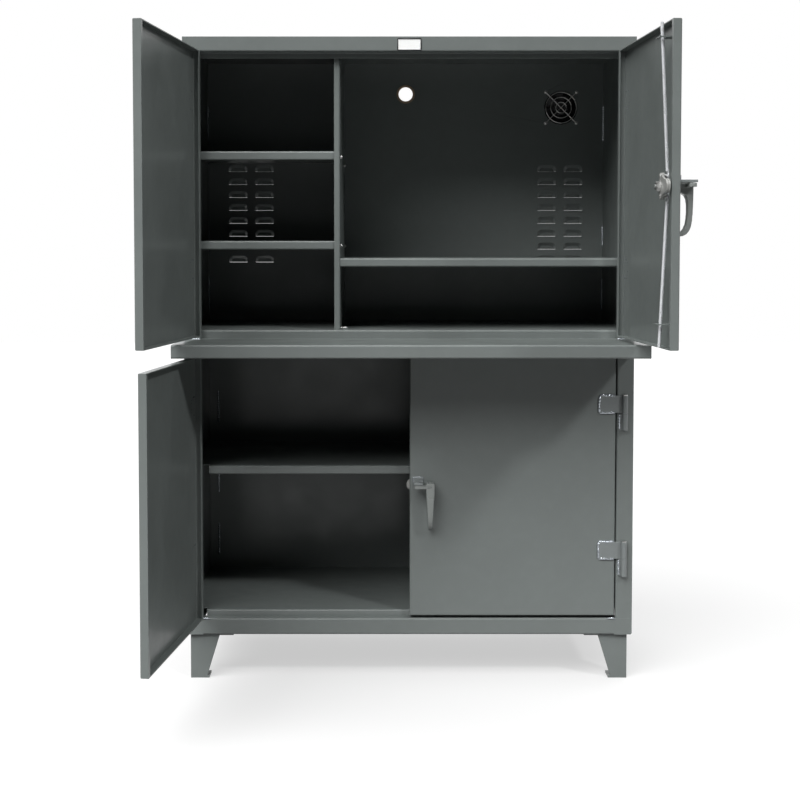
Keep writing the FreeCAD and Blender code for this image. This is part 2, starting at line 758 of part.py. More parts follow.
def shelf_sheet(label, top, span):
    """Shelf with a folded front edge."""
    path = [(shelf_front + shelf_return, top - shelf_lip), (shelf_front, top - shelf_lip), (shelf_front, top),
            (back_inside, top)]
    return bent_sheet(label, "YZ_Plane", path, -1, span)


def storage_shelf(label, top):
    """Shelf of the storage bay, whose end flange bolts to the divider."""
    wall = divider_place - gauge
    body = shelf_sheet(label, top, (-inside, wall))
    flange = rectangle((shelf_front + notch_depth, back_inside - notch_depth),
                       (top - shelf_end_flange, top - gauge))
    pad(body, "YZ_Plane", flange, (wall - gauge, wall))
    holes = [((place_y, shelf_bolt_up(top)), screw_radius + running) for place_y in shelf_bolt_places()]
    pocket(body, "YZ_Plane", [], holes, (wall - gauge * 2, wall + gauge))
    finish(body, label)


def shelf_bolt_up(top):
    """Height of a storage shelf's bolts."""
    return top - shelf_end_flange * 0.6


def shelf_bolt_places():
    """Front and rear bolt of a storage shelf, front to back."""
    return (shelf_front + notch_depth * 2, back_inside - notch_depth * 3)


def shelves():
    """Every shelf, the brackets under the lower one and the bolts of the storage bay."""
    storage_shelf("storage_shelf_high", storage_shelf_high)
    storage_shelf("storage_shelf_low", storage_shelf_low)
    finish(shelf_sheet("monitor_shelf", monitor_shelf_top, (divider_place, inside)), "monitor_shelf")
    lower = shelf_sheet("lower_shelf", lower_shelf_top, (-inside, inside))
    notch_corners(lower, shelf_notch, shelf_front, lower_shelf_top - shelf_lip, lower_shelf_top)
    finish(lower, "lower_shelf")
    shelf_brackets()
    shelf_bolts()


def shelf_brackets():
    """Angles welded to the sides of the lower cupboard, under the front and rear of its shelf."""
    top = lower_shelf_top - gauge
    angles = []
    for sign in (-1, 1):
        for start in (shelf_front + notch_depth * 2, back_inside - notch_depth - bracket_length):
            along = (start, start + bracket_length)
            flat = block((inside * sign, (inside - bracket_leg) * sign), along, (top - gauge, top))
            upright = block((inside * sign, (inside - gauge) * sign), along, (top - bracket_leg, top))
            angles.append(fuse([flat, upright]))
    finish(group(angles), "shelf_brackets")


def shelf_bolts():
    """Bolts through the divider into the storage shelves, and screws down through the divider's tab."""
    wall = divider_place - gauge
    bolts = []
    for top in (storage_shelf_high, storage_shelf_low):
        for place_y in shelf_bolt_places():
            level = shelf_bolt_up(top)
            head = round_bar("x", (wall - gauge - screw_thick, place_y, level), screw_head, screw_thick)
            shank = round_bar("x", (wall - gauge - screw_thick, place_y, level), screw_radius,
                              gauge * 2 + screw_thick * 2.5)
            nut = round_bar("x", (divider_place, place_y, level), screw_head, screw_thick)
            bolts.append(fuse([head, shank, nut]))
    for share in (1.5, 2.5):
        place_y = front + divider_setback + divider_tab * share
        foot = (divider_place + divider_tab / 2, place_y, upper_floor_top + gauge)
        bolts.append(round_bar("z", foot, screw_head, screw_thick * 0.7))
    finish(group(bolts), "shelf_bolts")


def drill_divider():
    """Holes for the shelf bolts, cut once the divider and the shelves are placed."""
    body = doc.getObject("divider")
    holes = []
    for top in (storage_shelf_high, storage_shelf_low):
        for place_y in shelf_bolt_places():
            holes.append(((place_y, shelf_bolt_up(top)), screw_radius + running))
    pocket(body, "YZ_Plane", [], holes, (divider_place - gauge * 2, divider_place + gauge))


# ---------------------------------------------------------------------------------------------------------
# Legs
# ---------------------------------------------------------------------------------------------------------

def leg(sign_x, sign_y, label):
    """Tapered angle leg between a top plate and a foot plate with an anchor hole."""
    body = new_body(label)
    corner_x = (half - leg_inset) * sign_x
    corner_y = (back - leg_inset) * sign_y
    plate_low = leg_height - leg_steel
    pad(body, "XY_Plane", rectangle((corner_x, corner_x - leg_plate * sign_x),
                                    (corner_y, corner_y - leg_plate * sign_y)), (plate_low, leg_height))
    facing = [(corner_x, foot_steel), (corner_x, plate_low), (corner_x - leg_top_width * sign_x, plate_low),
              (corner_x - leg_foot_width * sign_x, foot_steel)]
    pad(body, "XZ_Plane", facing, (corner_y, corner_y - leg_steel * sign_y))
    flank = [(corner_y, foot_steel), (corner_y, plate_low), (corner_y - leg_top_width * sign_y, plate_low),
             (corner_y - leg_foot_width * sign_y, foot_steel)]
    pad(body, "YZ_Plane", flank, (corner_x, corner_x - leg_steel * sign_x))
    pad(body, "XY_Plane", rectangle((corner_x, corner_x - foot_side * sign_x),
                                    (corner_y, corner_y - foot_side * sign_y)), (0, foot_steel))
    anchor = (corner_x - (leg_steel + anchor_inset) * sign_x, corner_y - (leg_steel + anchor_inset) * sign_y)
    pocket(body, "XY_Plane", [], [(anchor, anchor_hole)], (-foot_steel, foot_steel * 2))
    finish(body, label)


def legs():
    """Four legs, one under each corner."""
    for sign_y, end in ((-1, "front"), (1, "rear")):
        for sign_x, name in ((-1, "left"), (1, "right")):
            leg(sign_x, sign_y, f"leg_{end}_{name}")


# ---------------------------------------------------------------------------------------------------------
# Doors: each door's pieces are drawn about its hinge axis with the door shut, then turned to their rest angle
# ---------------------------------------------------------------------------------------------------------

class Door:
    """One door: which side it hangs on, its height range and its rest angle."""

    def __init__(self, row, side, sign, low, high, opened):
        self.row = row
        self.side = side
        self.sign = sign
        self.low = low
        self.high = high
        self.opened = opened

    def name(self, piece):
        return f"{self.row}_{piece}_{self.side}"

    def hang(self, item):
        """Put a piece that is drawn about the hinge axis where the door stands at rest."""
        turn = FreeCAD.Rotation(Vector(0, 0, self.sign), self.opened.value)
        item.Placement = FreeCAD.Placement(Vector(), turn)
        place(item, (hinge_x * self.sign, hinge_y, as_size(0)))
        if self.opened.value != 0:
            bind(item, "Placement.Rotation.Angle", self.opened)
        return item


face_y = hinge_out - door_proud
inner_y = face_y + door_depth
free_edge = hinge_x - centre_gap / 2
hinge_edge = hinge_x - (opening - side_gap)
spindle_x = -(free_edge - spindle_inset)
latch_x = hinge_x + spindle_x
rod_tip_y = hinge_y + face_y + rod_spread
upper_low = work_height + upper_bottom_gap
upper_high = header_bottom - upper_top_gap
lower_low = rail_top + lower_bottom_gap
lower_high = work_lip_bottom - lower_top_gap

DOORS = (
    Door("upper", "left", -1, upper_low, upper_high, upper_left_angle),
    Door("upper", "right", 1, upper_low, upper_high, upper_right_angle),
    Door("lower", "left", -1, lower_low, lower_high, lower_left_angle),
    Door("lower", "right", 1, lower_low, lower_high, lower_right_angle),
)


def door_pan(door):
    """Door folded from one sheet: flanges all round, and return lips on the upright edges."""
    body = new_body(door.name("door"))
    outer = -free_edge * door.sign
    hinged = -hinge_edge * door.sign
    pad(body, "XY_Plane", rectangle((outer, hinged), (face_y, inner_y)), (door.low, door.high))
    skin = gauge * door.sign
    lip = door_lip * door.sign
    hollow = [(outer + skin, face_y + gauge), (hinged - skin, face_y + gauge),
              (hinged - skin, inner_y - gauge), (hinged - lip, inner_y - gauge),
              (hinged - lip, inner_y + gauge), (outer + lip, inner_y + gauge),
              (outer + lip, inner_y - gauge), (outer + skin, inner_y - gauge)]
    pocket(body, "XY_Plane", [hollow], [], (door.low + gauge, door.high - gauge))
    y_level = face_y.value

    def on_face(start, end):
        return max(abs(start.y - y_level), abs(end.y - y_level)) < same_place

    round_edges(body, on_face, bend + gauge / 2)
    if door.sign > 0:
        hole = ((spindle_x, (door.low + door.high) / 2), spindle_radius + running)
        pocket(body, "XZ_Plane", [], [hole], (face_y - gauge, face_y + gauge * 2))
    finish(door.hang(body), door.name("door"))


def knuckle_spans(door):
    """Height ranges of the two hinges: the door's knuckle and the frame's knuckle below it."""
    top = door.high - hinge_end
    bottom = door.low + hinge_end
    seat = bottom + knuckle_height + knuckle_gap
    return (((top - knuckle_height, top),
             (top - knuckle_height * 2 - knuckle_gap, top - knuckle_height - knuckle_gap)),
            ((seat, seat + knuckle_height), (bottom, bottom + knuckle_height)))


def knuckle(x, y, span, bore):
    """Hinge barrel."""
    length = span[1] - span[0]
    barrel = round_bar("z", (x, y, span[0]), knuckle_radius, length)
    return cut(barrel, [round_bar("z", (x, y, span[0]), bore, length)])


def hinge_straps(door):
    """The door's half of both hinges: straps across the door's face, each with a knuckle."""
    zero = as_size(0)
    straps = []
    for door_span, frame_span in knuckle_spans(door):
        strap = block((-strap_length * door.sign, zero), (face_y - strap_steel, face_y), door_span)
        plain = fuse([strap, round_bar("z", (zero, zero, door_span[0]), knuckle_radius, knuckle_height)])
        bore = round_bar("z", (zero, zero, door_span[0]), pin_radius + running, knuckle_height)
        straps.append(cut(plain, [bore]))
    finish(door.hang(group(straps)), door.name("hinge_straps"))


def frame_leaves():
    """The frame's half of every hinge, welded to the stiles."""
    leaves = []
    for door in DOORS:
        x = hinge_x * door.sign
        for door_span, frame_span in knuckle_spans(door):
            leaf = block((x - leaf_length * door.sign, x), (front - strap_steel, front), frame_span)
            plain = fuse([leaf, round_bar("z", (x, hinge_y, frame_span[0]), knuckle_radius, knuckle_height)])
            bore = round_bar("z", (x, hinge_y, frame_span[0]), pin_radius, knuckle_height)
            leaves.append(cut(plain, [bore]))
    finish(group(leaves), "hinge_frame_leaves")


def hinge_pins():
    """Pins that are held in the frame's knuckles and carry the door's knuckles."""
    pins = []
    for door in DOORS:
        x = hinge_x * door.sign
        for door_span, frame_span in knuckle_spans(door):
            top = door_span[1] + knuckle_gap
            shank = round_bar("z", (x, hinge_y, frame_span[0]), pin_radius, top - frame_span[0])
            head = round_bar("z", (x, hinge_y, top), pin_radius * 1.4, pin_head)
            pins.append(fuse([shank, head]))
    finish(group(pins), "hinge_pins")


def doors():
    """Four doors and their hinges."""
    for door in DOORS:
        door_pan(door)
        hinge_straps(door)
    frame_leaves()
    hinge_pins()


# ---------------------------------------------------------------------------------------------------------
# Three-point latches, on the right-hand doors
# ---------------------------------------------------------------------------------------------------------

def handle(door, middle):
    """Cast handle: a hub, a grip that curves back to the door, a padlock lug and the spindle in one piece."""
    def out(distance):
        return face_y - distance

    def up(distance):
        return middle + distance

    profile = new_body(door.row + "_handle_profile")
    back_of_grip = handle_out - grip_depth
    outline = [(out(handle_clear), up(handle_top)), (out(handle_out), up(handle_top)),
               (out(handle_out), up(-handle_drop * 0.68)), (out(handle_out * 0.86), up(-handle_drop * 0.82)),
               (out(handle_out * 0.62), up(-handle_drop * 0.92)),
               (out(handle_out * 0.3), up(-handle_drop * 0.985)),
               (out(handle_clear), up(-handle_drop)), (out(handle_clear), up(-handle_drop * 0.975)),
               (out(handle_out * 0.27), up(-handle_drop * 0.93)),
               (out(handle_out * 0.45), up(-handle_drop * 0.83)),
               (out(back_of_grip), up(-handle_drop * 0.7)), (out(back_of_grip), up(-handle_drop * 0.3)),
               (out(back_of_grip * 0.8), up(-handle_drop * 0.2)), (out(handle_clear), up(-handle_top * 0.95))]
    pad(profile, "YZ_Plane", outline, (spindle_x - grip_width / 2, spindle_x + grip_width / 2))
    facing = new_body(door.row + "_handle_facing")
    taper = [(spindle_x - grip_width / 2, up(handle_top)), (spindle_x + grip_width / 2, up(handle_top)),
             (spindle_x + grip_width / 2, up(-handle_top)), (spindle_x + tip_width / 2, up(-handle_drop)),
             (spindle_x - tip_width / 2, up(-handle_drop)), (spindle_x - grip_width / 2, up(-handle_top))]
    pad(facing, "XZ_Plane", taper, (out(handle_out), out(handle_clear)))
    grip = doc.addObject("Part::Common", "grip")
    grip.Base = profile
    grip.Tool = facing
    lug = block((spindle_x - grip_width / 4, spindle_x - hasp_far),
                (out(handle_out), out(handle_out - lug_out)),
                (up(hasp_rise - lug_height - handle_clear), up(hasp_rise - handle_clear)))
    lug_hole = round_bar("z", padlock_place(middle), padlock_radius, hasp_rise + hasp_steel + lug_height)
    hub = round_bar("y", (spindle_x, out(back_of_grip + gauge), middle), hub_radius,
                    back_of_grip + gauge - handle_clear)
    spindle = round_bar("y", (spindle_x, out(handle_out / 2), middle), spindle_radius,
                        handle_out / 2 + cam_plane)
    square_start = face_y + cam_plane - gauge
    square = block((spindle_x - spindle_square / 2, spindle_x + spindle_square / 2),
                   (square_start, face_y + cam_plane + cam_steel),
                   (middle - spindle_square / 2, middle + spindle_square / 2))
    stub = round_bar("y", (spindle_x, square_start, middle), spindle_square / 2,
                     gauge + cam_steel + nut_height + spindle_stub)
    casting = cut(fuse([grip, lug, hub, spindle, square, stub]), [lug_hole])
    finish(door.hang(casting), door.row + "_handle")


def padlock_place(middle):
    """Start of the padlock hole's axis, below the handle's lug."""
    across = spindle_x - (hasp_near + hasp_far) / 2
    return (across, face_y - handle_out + lug_out / 2, middle - lug_height)


def hasp(door, middle):
    """Fixed plate above the handle's lug, for a padlock through both."""
    across = (spindle_x - hasp_near, spindle_x - hasp_far)
    shelf = block(across, (face_y - hasp_out, face_y), (middle + hasp_rise, middle + hasp_rise + hasp_steel))
    base = block(across, (face_y - hasp_steel * 0.6, face_y),
                 (middle + hasp_rise, middle + hasp_rise + hasp_base))
    hole = round_bar("z", padlock_place(middle), padlock_radius, hasp_rise + hasp_steel + lug_height * 2)
    finish(door.hang(cut(fuse([shelf, base]), [hole])), door.row + "_hasp")


def cam(door, middle):
    """Cam plate on the spindle's square: two lobes for the rods and a bolt arm past the door's edge."""
    start = face_y + cam_plane
    flat = (start, start + cam_steel)
    pieces = [round_bar("y", (spindle_x, start, middle), cam_hub, cam_steel)]
    for sign in (1, -1):
        lobe = middle + cam_throw * sign
        pieces.append(round_bar("y", (spindle_x, start, lobe), cam_lobe, cam_steel))
        pieces.append(block((spindle_x - cam_lobe, spindle_x + cam_lobe), flat, (middle, lobe)))
    tip = spindle_x - (bolt_reach - bolt_radius)
    pieces.append(round_bar("y", (tip, start, middle), bolt_radius, cam_steel))
    pieces.append(block((tip, spindle_x), flat, (middle - bolt_radius, middle + bolt_radius)))
    square = block((spindle_x - spindle_square / 2, spindle_x + spindle_square / 2), flat,
                   (middle - spindle_square / 2, middle + spindle_square / 2))
    holes = [round_bar("y", (spindle_x, start, middle + cam_throw * sign), rivet_radius, cam_steel)
             for sign in (1, -1)]
    finish(door.hang(cut(fuse(pieces), [square] + holes)), door.row + "_cam")


def latch_pins(door, middle):
    """Nut that holds the cam on the spindle, and the shouldered rivets that the rods turn on."""
    nut_start = face_y + cam_plane + cam_steel
    nut = cut(round_bar("y", (spindle_x, nut_start, middle), nut_radius, nut_height),
              [round_bar("y", (spindle_x, nut_start, middle), spindle_square / 2, nut_height)])
    pieces = [nut]
    inner_head = face_y + rod_plane - eye_steel / 2 - running * 4 - head_height
    spacer_start = face_y + rod_plane + eye_steel / 2 + running * 4
    spacer = face_y + cam_plane - spacer_start
    for sign in (1, -1):
        level = middle + cam_throw * sign
        shank = round_bar("y", (spindle_x, inner_head, level), rivet_radius,
                          nut_start + head_height - inner_head)
        pieces.append(fuse([shank, round_bar("y", (spindle_x, inner_head, level), rivet_head, head_height),
                            round_bar("y", (spindle_x, spacer_start, level), rivet_head, spacer),
                            round_bar("y", (spindle_x, nut_start, level), rivet_head, head_height)]))
    finish(door.hang(group(pieces)), door.row + "_latch_pins")


def rod_depth(rivet, tip, level):
    """How far behind the door's face a rod's axis lies at a height: it slants from its rivet to its tip."""
    return rod_plane + (rod_spread - rod_plane) * (level - rivet) / (tip - rivet)


def rod_rivet(door, sign):
    """Height of a rod's rivet."""
    return (door.low + door.high) / 2 + cam_throw * sign


def rod_tip(door, sign):
    """Height of a rod's tip: behind the stop above the door, or through the floor below it."""
    if door.row == "upper":
        return header_bottom - stop_drop + rod_lock_high if sign > 0 else upper_floor_top - rod_lock_low
    return door.high - lower_stop_drop + rod_lock_high if sign > 0 else lower_floor_top - rod_lock_low


def rod(door, sign, label):
    """Latch rod: a flattened eye on the cam's rivet, and a round bar that slants back to its tip."""
    rivet = rod_rivet(door, sign)
    tip = rod_tip(door, sign)
    low, high = ordered(rivet + eye_neck * sign, tip)
    low_depth = rod_depth(rivet, tip, low)
    back_set = rod_depth(rivet, tip, high) - low_depth
    bar = doc.addObject("Part::Cylinder", "rod_bar")
    bind(bar, "Radius", rod_radius)
    bind(bar, "Height", hypotenuse(back_set, high - low))
    lean = slant(back_set * sign, high - low)
    bar.Placement = FreeCAD.Placement(Vector(), FreeCAD.Rotation(Vector(-sign, 0, 0), lean.value))
    place(bar, (spindle_x, face_y + low_depth, low))
    bind(bar, "Placement.Rotation.Angle", lean)
    axis_y = face_y + rod_plane
    flat = (axis_y - eye_steel / 2, axis_y + eye_steel / 2)
    eye = round_bar("y", (spindle_x, flat[0], rivet), cam_lobe, eye_steel)
    neck = block((spindle_x - rod_radius * 1.5, spindle_x + rod_radius * 1.5), flat,
                 (rivet, rivet + eye_neck * 1.5 * sign))
    hole = round_bar("y", (spindle_x, flat[0], rivet), rivet_radius + running, eye_steel)
    finish(door.hang(cut(fuse([bar, eye, neck]), [hole])), label)


def rod_guides(door):
    """Two angles welded inside the door, each slotted for its rod."""
    guides = []
    start = face_y + gauge
    across = (spindle_x - guide_width / 2, spindle_x + guide_width / 2)
    for level, sign in ((door.high - guide_top, 1), (door.low + guide_bottom, -1)):
        leaf = block(across, (start, start + guide_reach), (level, level + gauge * sign))
        base = block(across, (start, start + gauge), (level, level - guide_base * sign))
        y = face_y + rod_depth(rod_rivet(door, sign), rod_tip(door, sign), level)
        slot = block((spindle_x - rod_slot, spindle_x + rod_slot),
                     (y - rod_radius - rod_clear, y + rod_radius + rod_clear), (level - gauge, level + gauge))
        guides.append(cut(fuse([leaf, base]), [slot]))
    finish(door.hang(group(guides)), door.row + "_rod_guides")


def latches():
    """A latch on each right-hand door."""
    for door in DOORS:
        if door.sign < 0:
            continue
        middle = (door.low + door.high) / 2
        handle(door, middle)
        hasp(door, middle)
        cam(door, middle)
        latch_pins(door, middle)
        rod(door, 1, door.row + "_rod_top")
        rod(door, -1, door.row + "_rod_bottom")
        rod_guides(door)


# ---------------------------------------------------------------------------------------------------------
# Fan, grommet and name plate
# ---------------------------------------------------------------------------------------------------------

def fan_corners():
    """Places of the fan's four screws, across and up."""
    reach = fan_pitch / 2
    return [(fan_across + reach * sx, fan_up + reach * sz) for sx in (-1, 1) for sz in (-1, 1)]


def fan_housing():
    """Square fan frame behind the back panel, with a motor mount on four arms."""
    span_x = (fan_across - fan_side / 2, fan_across + fan_side / 2)
    span_z = (fan_up - fan_side / 2, fan_up + fan_side / 2)
    frame = block(span_x, (back, back + fan_depth), span_z)
    tools = [round_bar("y", (fan_across, back, fan_up), fan_bore, fan_depth)]
    for x, z in fan_corners():
        tools.append(round_bar("y", (x, back, z), fan_screw, fan_depth / 2))
    ring = cut(frame, tools)
    mount_start = back + fan_depth - fan_hub / 4
    pieces = [ring, round_bar("y", (fan_across, mount_start, fan_up), fan_hub, fan_hub / 4)]
    arm = fan_hub / 7
    arm_span = (mount_start, back + fan_depth)
    pieces.append(block((fan_across - fan_bore - arm, fan_across + fan_bore + arm), arm_span,
                        (fan_up - arm, fan_up + arm)))
    pieces.append(block((fan_across - arm, fan_across + arm), arm_span,
                        (fan_up - fan_bore - arm, fan_up + fan_bore + arm)))
    finish(fuse(pieces), "fan_housing")


def fan_rotor():
    """Hub with broad pitched blades."""
    start = back + gauge * 2
    depth = fan_depth - fan_hub / 4 - gauge * 2 - fan_tip_gap / 4
    hub = round_bar("y", (fan_across, start, fan_up), fan_hub, depth)
    blade_end = other_side(fan_bore - fan_tip_gap, blade_chord / 2)
    blade_count = 7
    blades = []
    for number in range(blade_count):
        blade = doc.addObject("Part::Box", "fan_blade")
        bind(blade, "Length", blade_end - fan_hub / 2)
        bind(blade, "Width", blade_chord)
        bind(blade, "Height", blade_steel)
        offset = Vector(fan_hub.value / 2, -blade_chord.value / 2, -blade_steel.value / 2)
        tilt = FreeCAD.Rotation(Vector(1, 0, 0), blade_pitch.value)
        turn = FreeCAD.Rotation(Vector(0, 1, 0), 360 / blade_count * number)
        middle = Vector(fan_across.value, start.value + depth.value / 2, fan_up.value)
        tilted = FreeCAD.Placement(Vector(), tilt) * FreeCAD.Placement(offset, FreeCAD.Rotation())
        blade.Placement = FreeCAD.Placement(middle, turn) * tilted
        blades.append(blade)
    finish(fuse([hub] + blades), "fan_rotor")


def fan_guard():
    """Wire finger guard inside the cabinet: three rings welded on a cross whose ends go under the screws."""
    plane = back_inside - wire_radius * 1.1
    rings = []
    for share in (0.32, 0.62, 0.92):
        ring = doc.addObject("Part::Torus", "guard_ring")
        bind(ring, "Radius1", fan_bore * share)
        bind(ring, "Radius2", wire_radius)
        ring.Placement = FreeCAD.Placement(Vector(), TURNS["y"])
        place(ring, (fan_across, plane - wire_radius * 1.7, fan_up))
        rings.append(ring)
    reach = fan_pitch / 2 * 2 ** 0.5 - fan_screw * 2
    for angle in (45, 135):
        bar = doc.addObject("Part::Cylinder", "guard_bar")
        bind(bar, "Radius", wire_radius)
        bind(bar, "Height", reach * 2)
        turn = FreeCAD.Rotation(Vector(0, 1, 0), angle)
        bar.Placement = FreeCAD.Placement(Vector(), turn)
        across = reach * math.sin(math.radians(angle))
        up = reach * math.cos(math.radians(angle))
        place(bar, (fan_across - across, plane, fan_up - up))
        rings.append(bar)
    start = back_inside - wire_radius
    eyes = [round_bar("y", (x, start, z), fan_screw * 2.4, wire_radius) for x, z in fan_corners()]
    holes = [round_bar("y", (x, start, z), fan_screw + running, wire_radius) for x, z in fan_corners()]
    finish(cut(fuse(rings + eyes), holes), "fan_guard")


def fan_filter():
    """Foam behind the fan's outlet, and the snap-on frame that holds it."""
    start = back + fan_depth
    foam_x = (fan_across - foam_side / 2, fan_across + foam_side / 2)
    foam_z = (fan_up - foam_side / 2, fan_up + foam_side / 2)
    finish(block(foam_x, (start, start + foam_thick), foam_z), "fan_filter")
    end = start + foam_thick + filter_wall
    plain = block((fan_across - fan_side / 2, fan_across + fan_side / 2), (start, end),
                  (fan_up - fan_side / 2, fan_up + fan_side / 2))
    seat = block(foam_x, (start, start + foam_thick), foam_z)
    ledge = foam_side / 2 - filter_bar
    mouth = block((fan_across - ledge, fan_across + ledge), (start, end), (fan_up - ledge, fan_up + ledge))
    bars = [cut(plain, [seat, mouth])]
    wall = (start + foam_thick, end)
    for share in (-1, 0, 1):
        middle = share * ledge / 2
        across = fan_across + middle
        up = fan_up + middle
        bars.append(block((across - filter_bar / 2, across + filter_bar / 2), wall,
                          (fan_up - foam_side / 2, fan_up + foam_side / 2)))
        bars.append(block(foam_x, wall, (up - filter_bar / 2, up + filter_bar / 2)))
    finish(fuse(bars), "fan_filter_frame")


def fan_screws():
    """Screws from inside the cabinet through guard and panel into the fan's frame."""
    screws = []
    start = back_inside - wire_radius
    for x, z in fan_corners():
        head = round_bar("y", (x, start - head_height * 1.3, z), fan_screw * 1.9, head_height * 1.3)
        shank = round_bar("y", (x, start - head_height, z), fan_screw,
                          head_height + wire_radius + gauge + fan_depth / 3)
        screws.append(fuse([head, shank]))
    finish(group(screws), "fan_screws")


def grommet():
    """Rubber ring that lines the cable hole."""
    zero = as_size(0)
    low = back_inside - grommet_wall
    high = back + grommet_wall
    outer = cable_radius + grommet_flange
    body = new_body("cable_grommet")
    bore = cable_radius - grommet_wall
    section = [(bore, low), (outer, low), (outer, back_inside), (cable_radius, back_inside),
               (cable_radius, back), (outer, back), (outer, high), (bore, high)]
    sketch = new_sketch(body, "XY_Plane", cable_up)
    draw_polygon(sketch, section)
    turned = body.newObject("PartDesign::Revolution", "grommet_ring")
    turned.Profile = sketch
    turned.ReferenceAxis = (sketch, ["V_Axis"])
    turned.Angle = 360
    doc.recompute()
    place(body, (zero, zero, zero))
    finish(body, "cable_grommet")


def name_plate():
    """Blank plate riveted to the header."""
    middle = header_bottom + (header_height - gauge) / 2
    plate = block((-plate_width / 2, plate_width / 2), (front - plate_steel, front),
                  (middle - plate_height / 2, middle + plate_height / 2))
    reach = plate_width / 2 - plate_rivet * 2.5
    rivets = [round_bar("y", (reach * sign, front - plate_steel * 2, middle), plate_rivet, plate_steel * 1.5)
              for sign in (-1, 1)]
    finish(fuse([plate] + rivets), "name_plate")


# ---------------------------------------------------------------------------------------------------------
# Build, check and write
# ---------------------------------------------------------------------------------------------------------

def check_model():
    """Stop if any object failed or any sub-part has no sound shape."""
    for item in doc.Objects:
        if "Invalid" in item.State or "Error" in item.State:
            raise RuntimeError(f"{item.Label} failed: {item.State}")
    for item in subparts:
        shape = item.Shape
        if shape.isNull() or not shape.isValid() or not shape.Solids:
            raise RuntimeError(f"{item.Label} has no sound shape")
    labels = [item.Label for item in subparts]
    if len(set(labels)) != len(labels):
        raise RuntimeError("two sub-parts share a name")


def write_parts():
    """Write each sub-part's shape to its own file."""
    os.makedirs("parts", exist_ok=True)
    for item in subparts:
        item.Shape.exportStep(f"parts/{item.Label}.step")
        print(f"{item.Label}: {len(item.Shape.Solids)} solids, {item.Shape.Volume / 1000:.1f} cm3")


shell()
divider()
shelves()
drill_divider()
legs()
doors()
latches()
fan_housing()
fan_rotor()
fan_filter()
fan_guard()
fan_screws()
grommet()
name_plate()
doc.recompute()
check_model()
write_parts()
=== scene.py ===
import json
import math
import random

import bmesh
import bpy
from mathutils import Matrix, Vector


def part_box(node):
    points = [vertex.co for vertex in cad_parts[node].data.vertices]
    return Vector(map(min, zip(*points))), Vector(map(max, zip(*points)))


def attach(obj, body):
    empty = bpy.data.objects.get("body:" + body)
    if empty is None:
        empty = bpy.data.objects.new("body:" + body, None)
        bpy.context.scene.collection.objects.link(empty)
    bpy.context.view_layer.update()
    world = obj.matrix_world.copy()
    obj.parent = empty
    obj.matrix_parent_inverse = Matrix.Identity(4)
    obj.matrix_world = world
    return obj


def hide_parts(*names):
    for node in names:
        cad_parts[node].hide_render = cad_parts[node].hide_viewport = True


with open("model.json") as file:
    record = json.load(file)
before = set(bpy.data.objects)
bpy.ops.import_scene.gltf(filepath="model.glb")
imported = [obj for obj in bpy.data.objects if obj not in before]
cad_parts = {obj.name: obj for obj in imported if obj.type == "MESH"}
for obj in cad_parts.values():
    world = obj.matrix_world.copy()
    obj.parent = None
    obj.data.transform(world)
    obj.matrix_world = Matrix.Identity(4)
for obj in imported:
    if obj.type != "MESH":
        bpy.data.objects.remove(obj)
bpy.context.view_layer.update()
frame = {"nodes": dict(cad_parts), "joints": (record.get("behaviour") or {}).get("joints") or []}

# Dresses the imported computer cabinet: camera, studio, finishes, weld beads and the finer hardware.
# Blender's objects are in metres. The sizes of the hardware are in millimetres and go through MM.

nodes = frame["nodes"]
MM = 0.001

# Places in a door's own frame: its hinge axis is x = 0 and y = 0, the door runs towards -x, and
# its outer face is at y = FACE. Depths are measured inwards from that face.
FACE = 10.0
SPINDLE = -528.0

# The handle and its padlock lug
HANDLE_TOP = 12.0
HANDLE_DROP = 117.0
HANDLE_OUT = 42.0
HANDLE_CLEAR = 1.5
HUB_HALF_WIDTH = 11.2
HUB_BULGE = 0.8
GRIP_HALF_WIDTH = 12.0
GRIP_TAPER = 7.6
GRIP_TAPER_POWER = 0.9
LUG_HEIGHT = 9.0
LUG_OUT = 20.0
LUG_CORNER = 7.0
LUG_EDGE = 0.9
LUG_START = -4.0
PADLOCK_HOLE = 5.0

# Stations down the handle: its outer and its inner line, each as distance out from the door and
# height above the spindle
HANDLE_STATIONS = [
    ((42.0, 12.0), (1.5, 12.0)), ((42.0, 3.0), (1.5, 2.0)), ((42.0, -7.0), (1.5, -10.0)),
    ((42.0, -18.0), (14.0, -16.5)), ((42.0, -29.0), (23.0, -21.5)), ((42.0, -40.0), (27.5, -31.0)),
    ((41.8, -52.0), (28.8, -44.0)), ((41.4, -65.0), (28.8, -58.0)), ((40.6, -79.0), (27.6, -73.0)),
    ((38.6, -93.0), (25.2, -87.5)), ((34.2, -104.0), (20.0, -99.0)),
    ((28.0, -111.5), (13.5, -106.5)), ((19.0, -116.0), (6.0, -111.5)),
    ((9.0, -117.0), (1.5, -114.0)),
]

# Depths of the spindle's shoulder and end, and its thread
SPINDLE_SHOULDER = 23.0
THREAD_START = 37.0
THREAD_TURNS = 9
THREAD_PITCH = 1.2
THREAD_FLAT = 0.15
SPINDLE_END = 48.0

# The cam with its raised face, and the nut and the rivets on it
CAM_BACK = 30.0
CAM_RAISE = 5.0
CAM_SUNK = 0.4
CAM_EDGE = 1.1
CAM_THROW = 23.0
CAM_LOBE = 8.2
CAM_ARM = 46.5
CAM_ARM_END = 15.7
CAM_SEAT = CAM_BACK + CAM_RAISE
NUT_RADIUS = 12.0
NUT_HEIGHT = 8.0
NUT_WASHER = 1.5
EYE_FRONT = 15.3
EYE_BACK = 18.7
RIVET_RADIUS = 2.9
RIVET_HEAD = 5.0

# The hasp beside the handle, from the spindle, and the hinge straps
HASP_NEAR = 19.6
HASP_FAR = 45.3
HASP_RISE = 8.0
HASP_BASE = 16.0
STRAP_LENGTH = 67.0

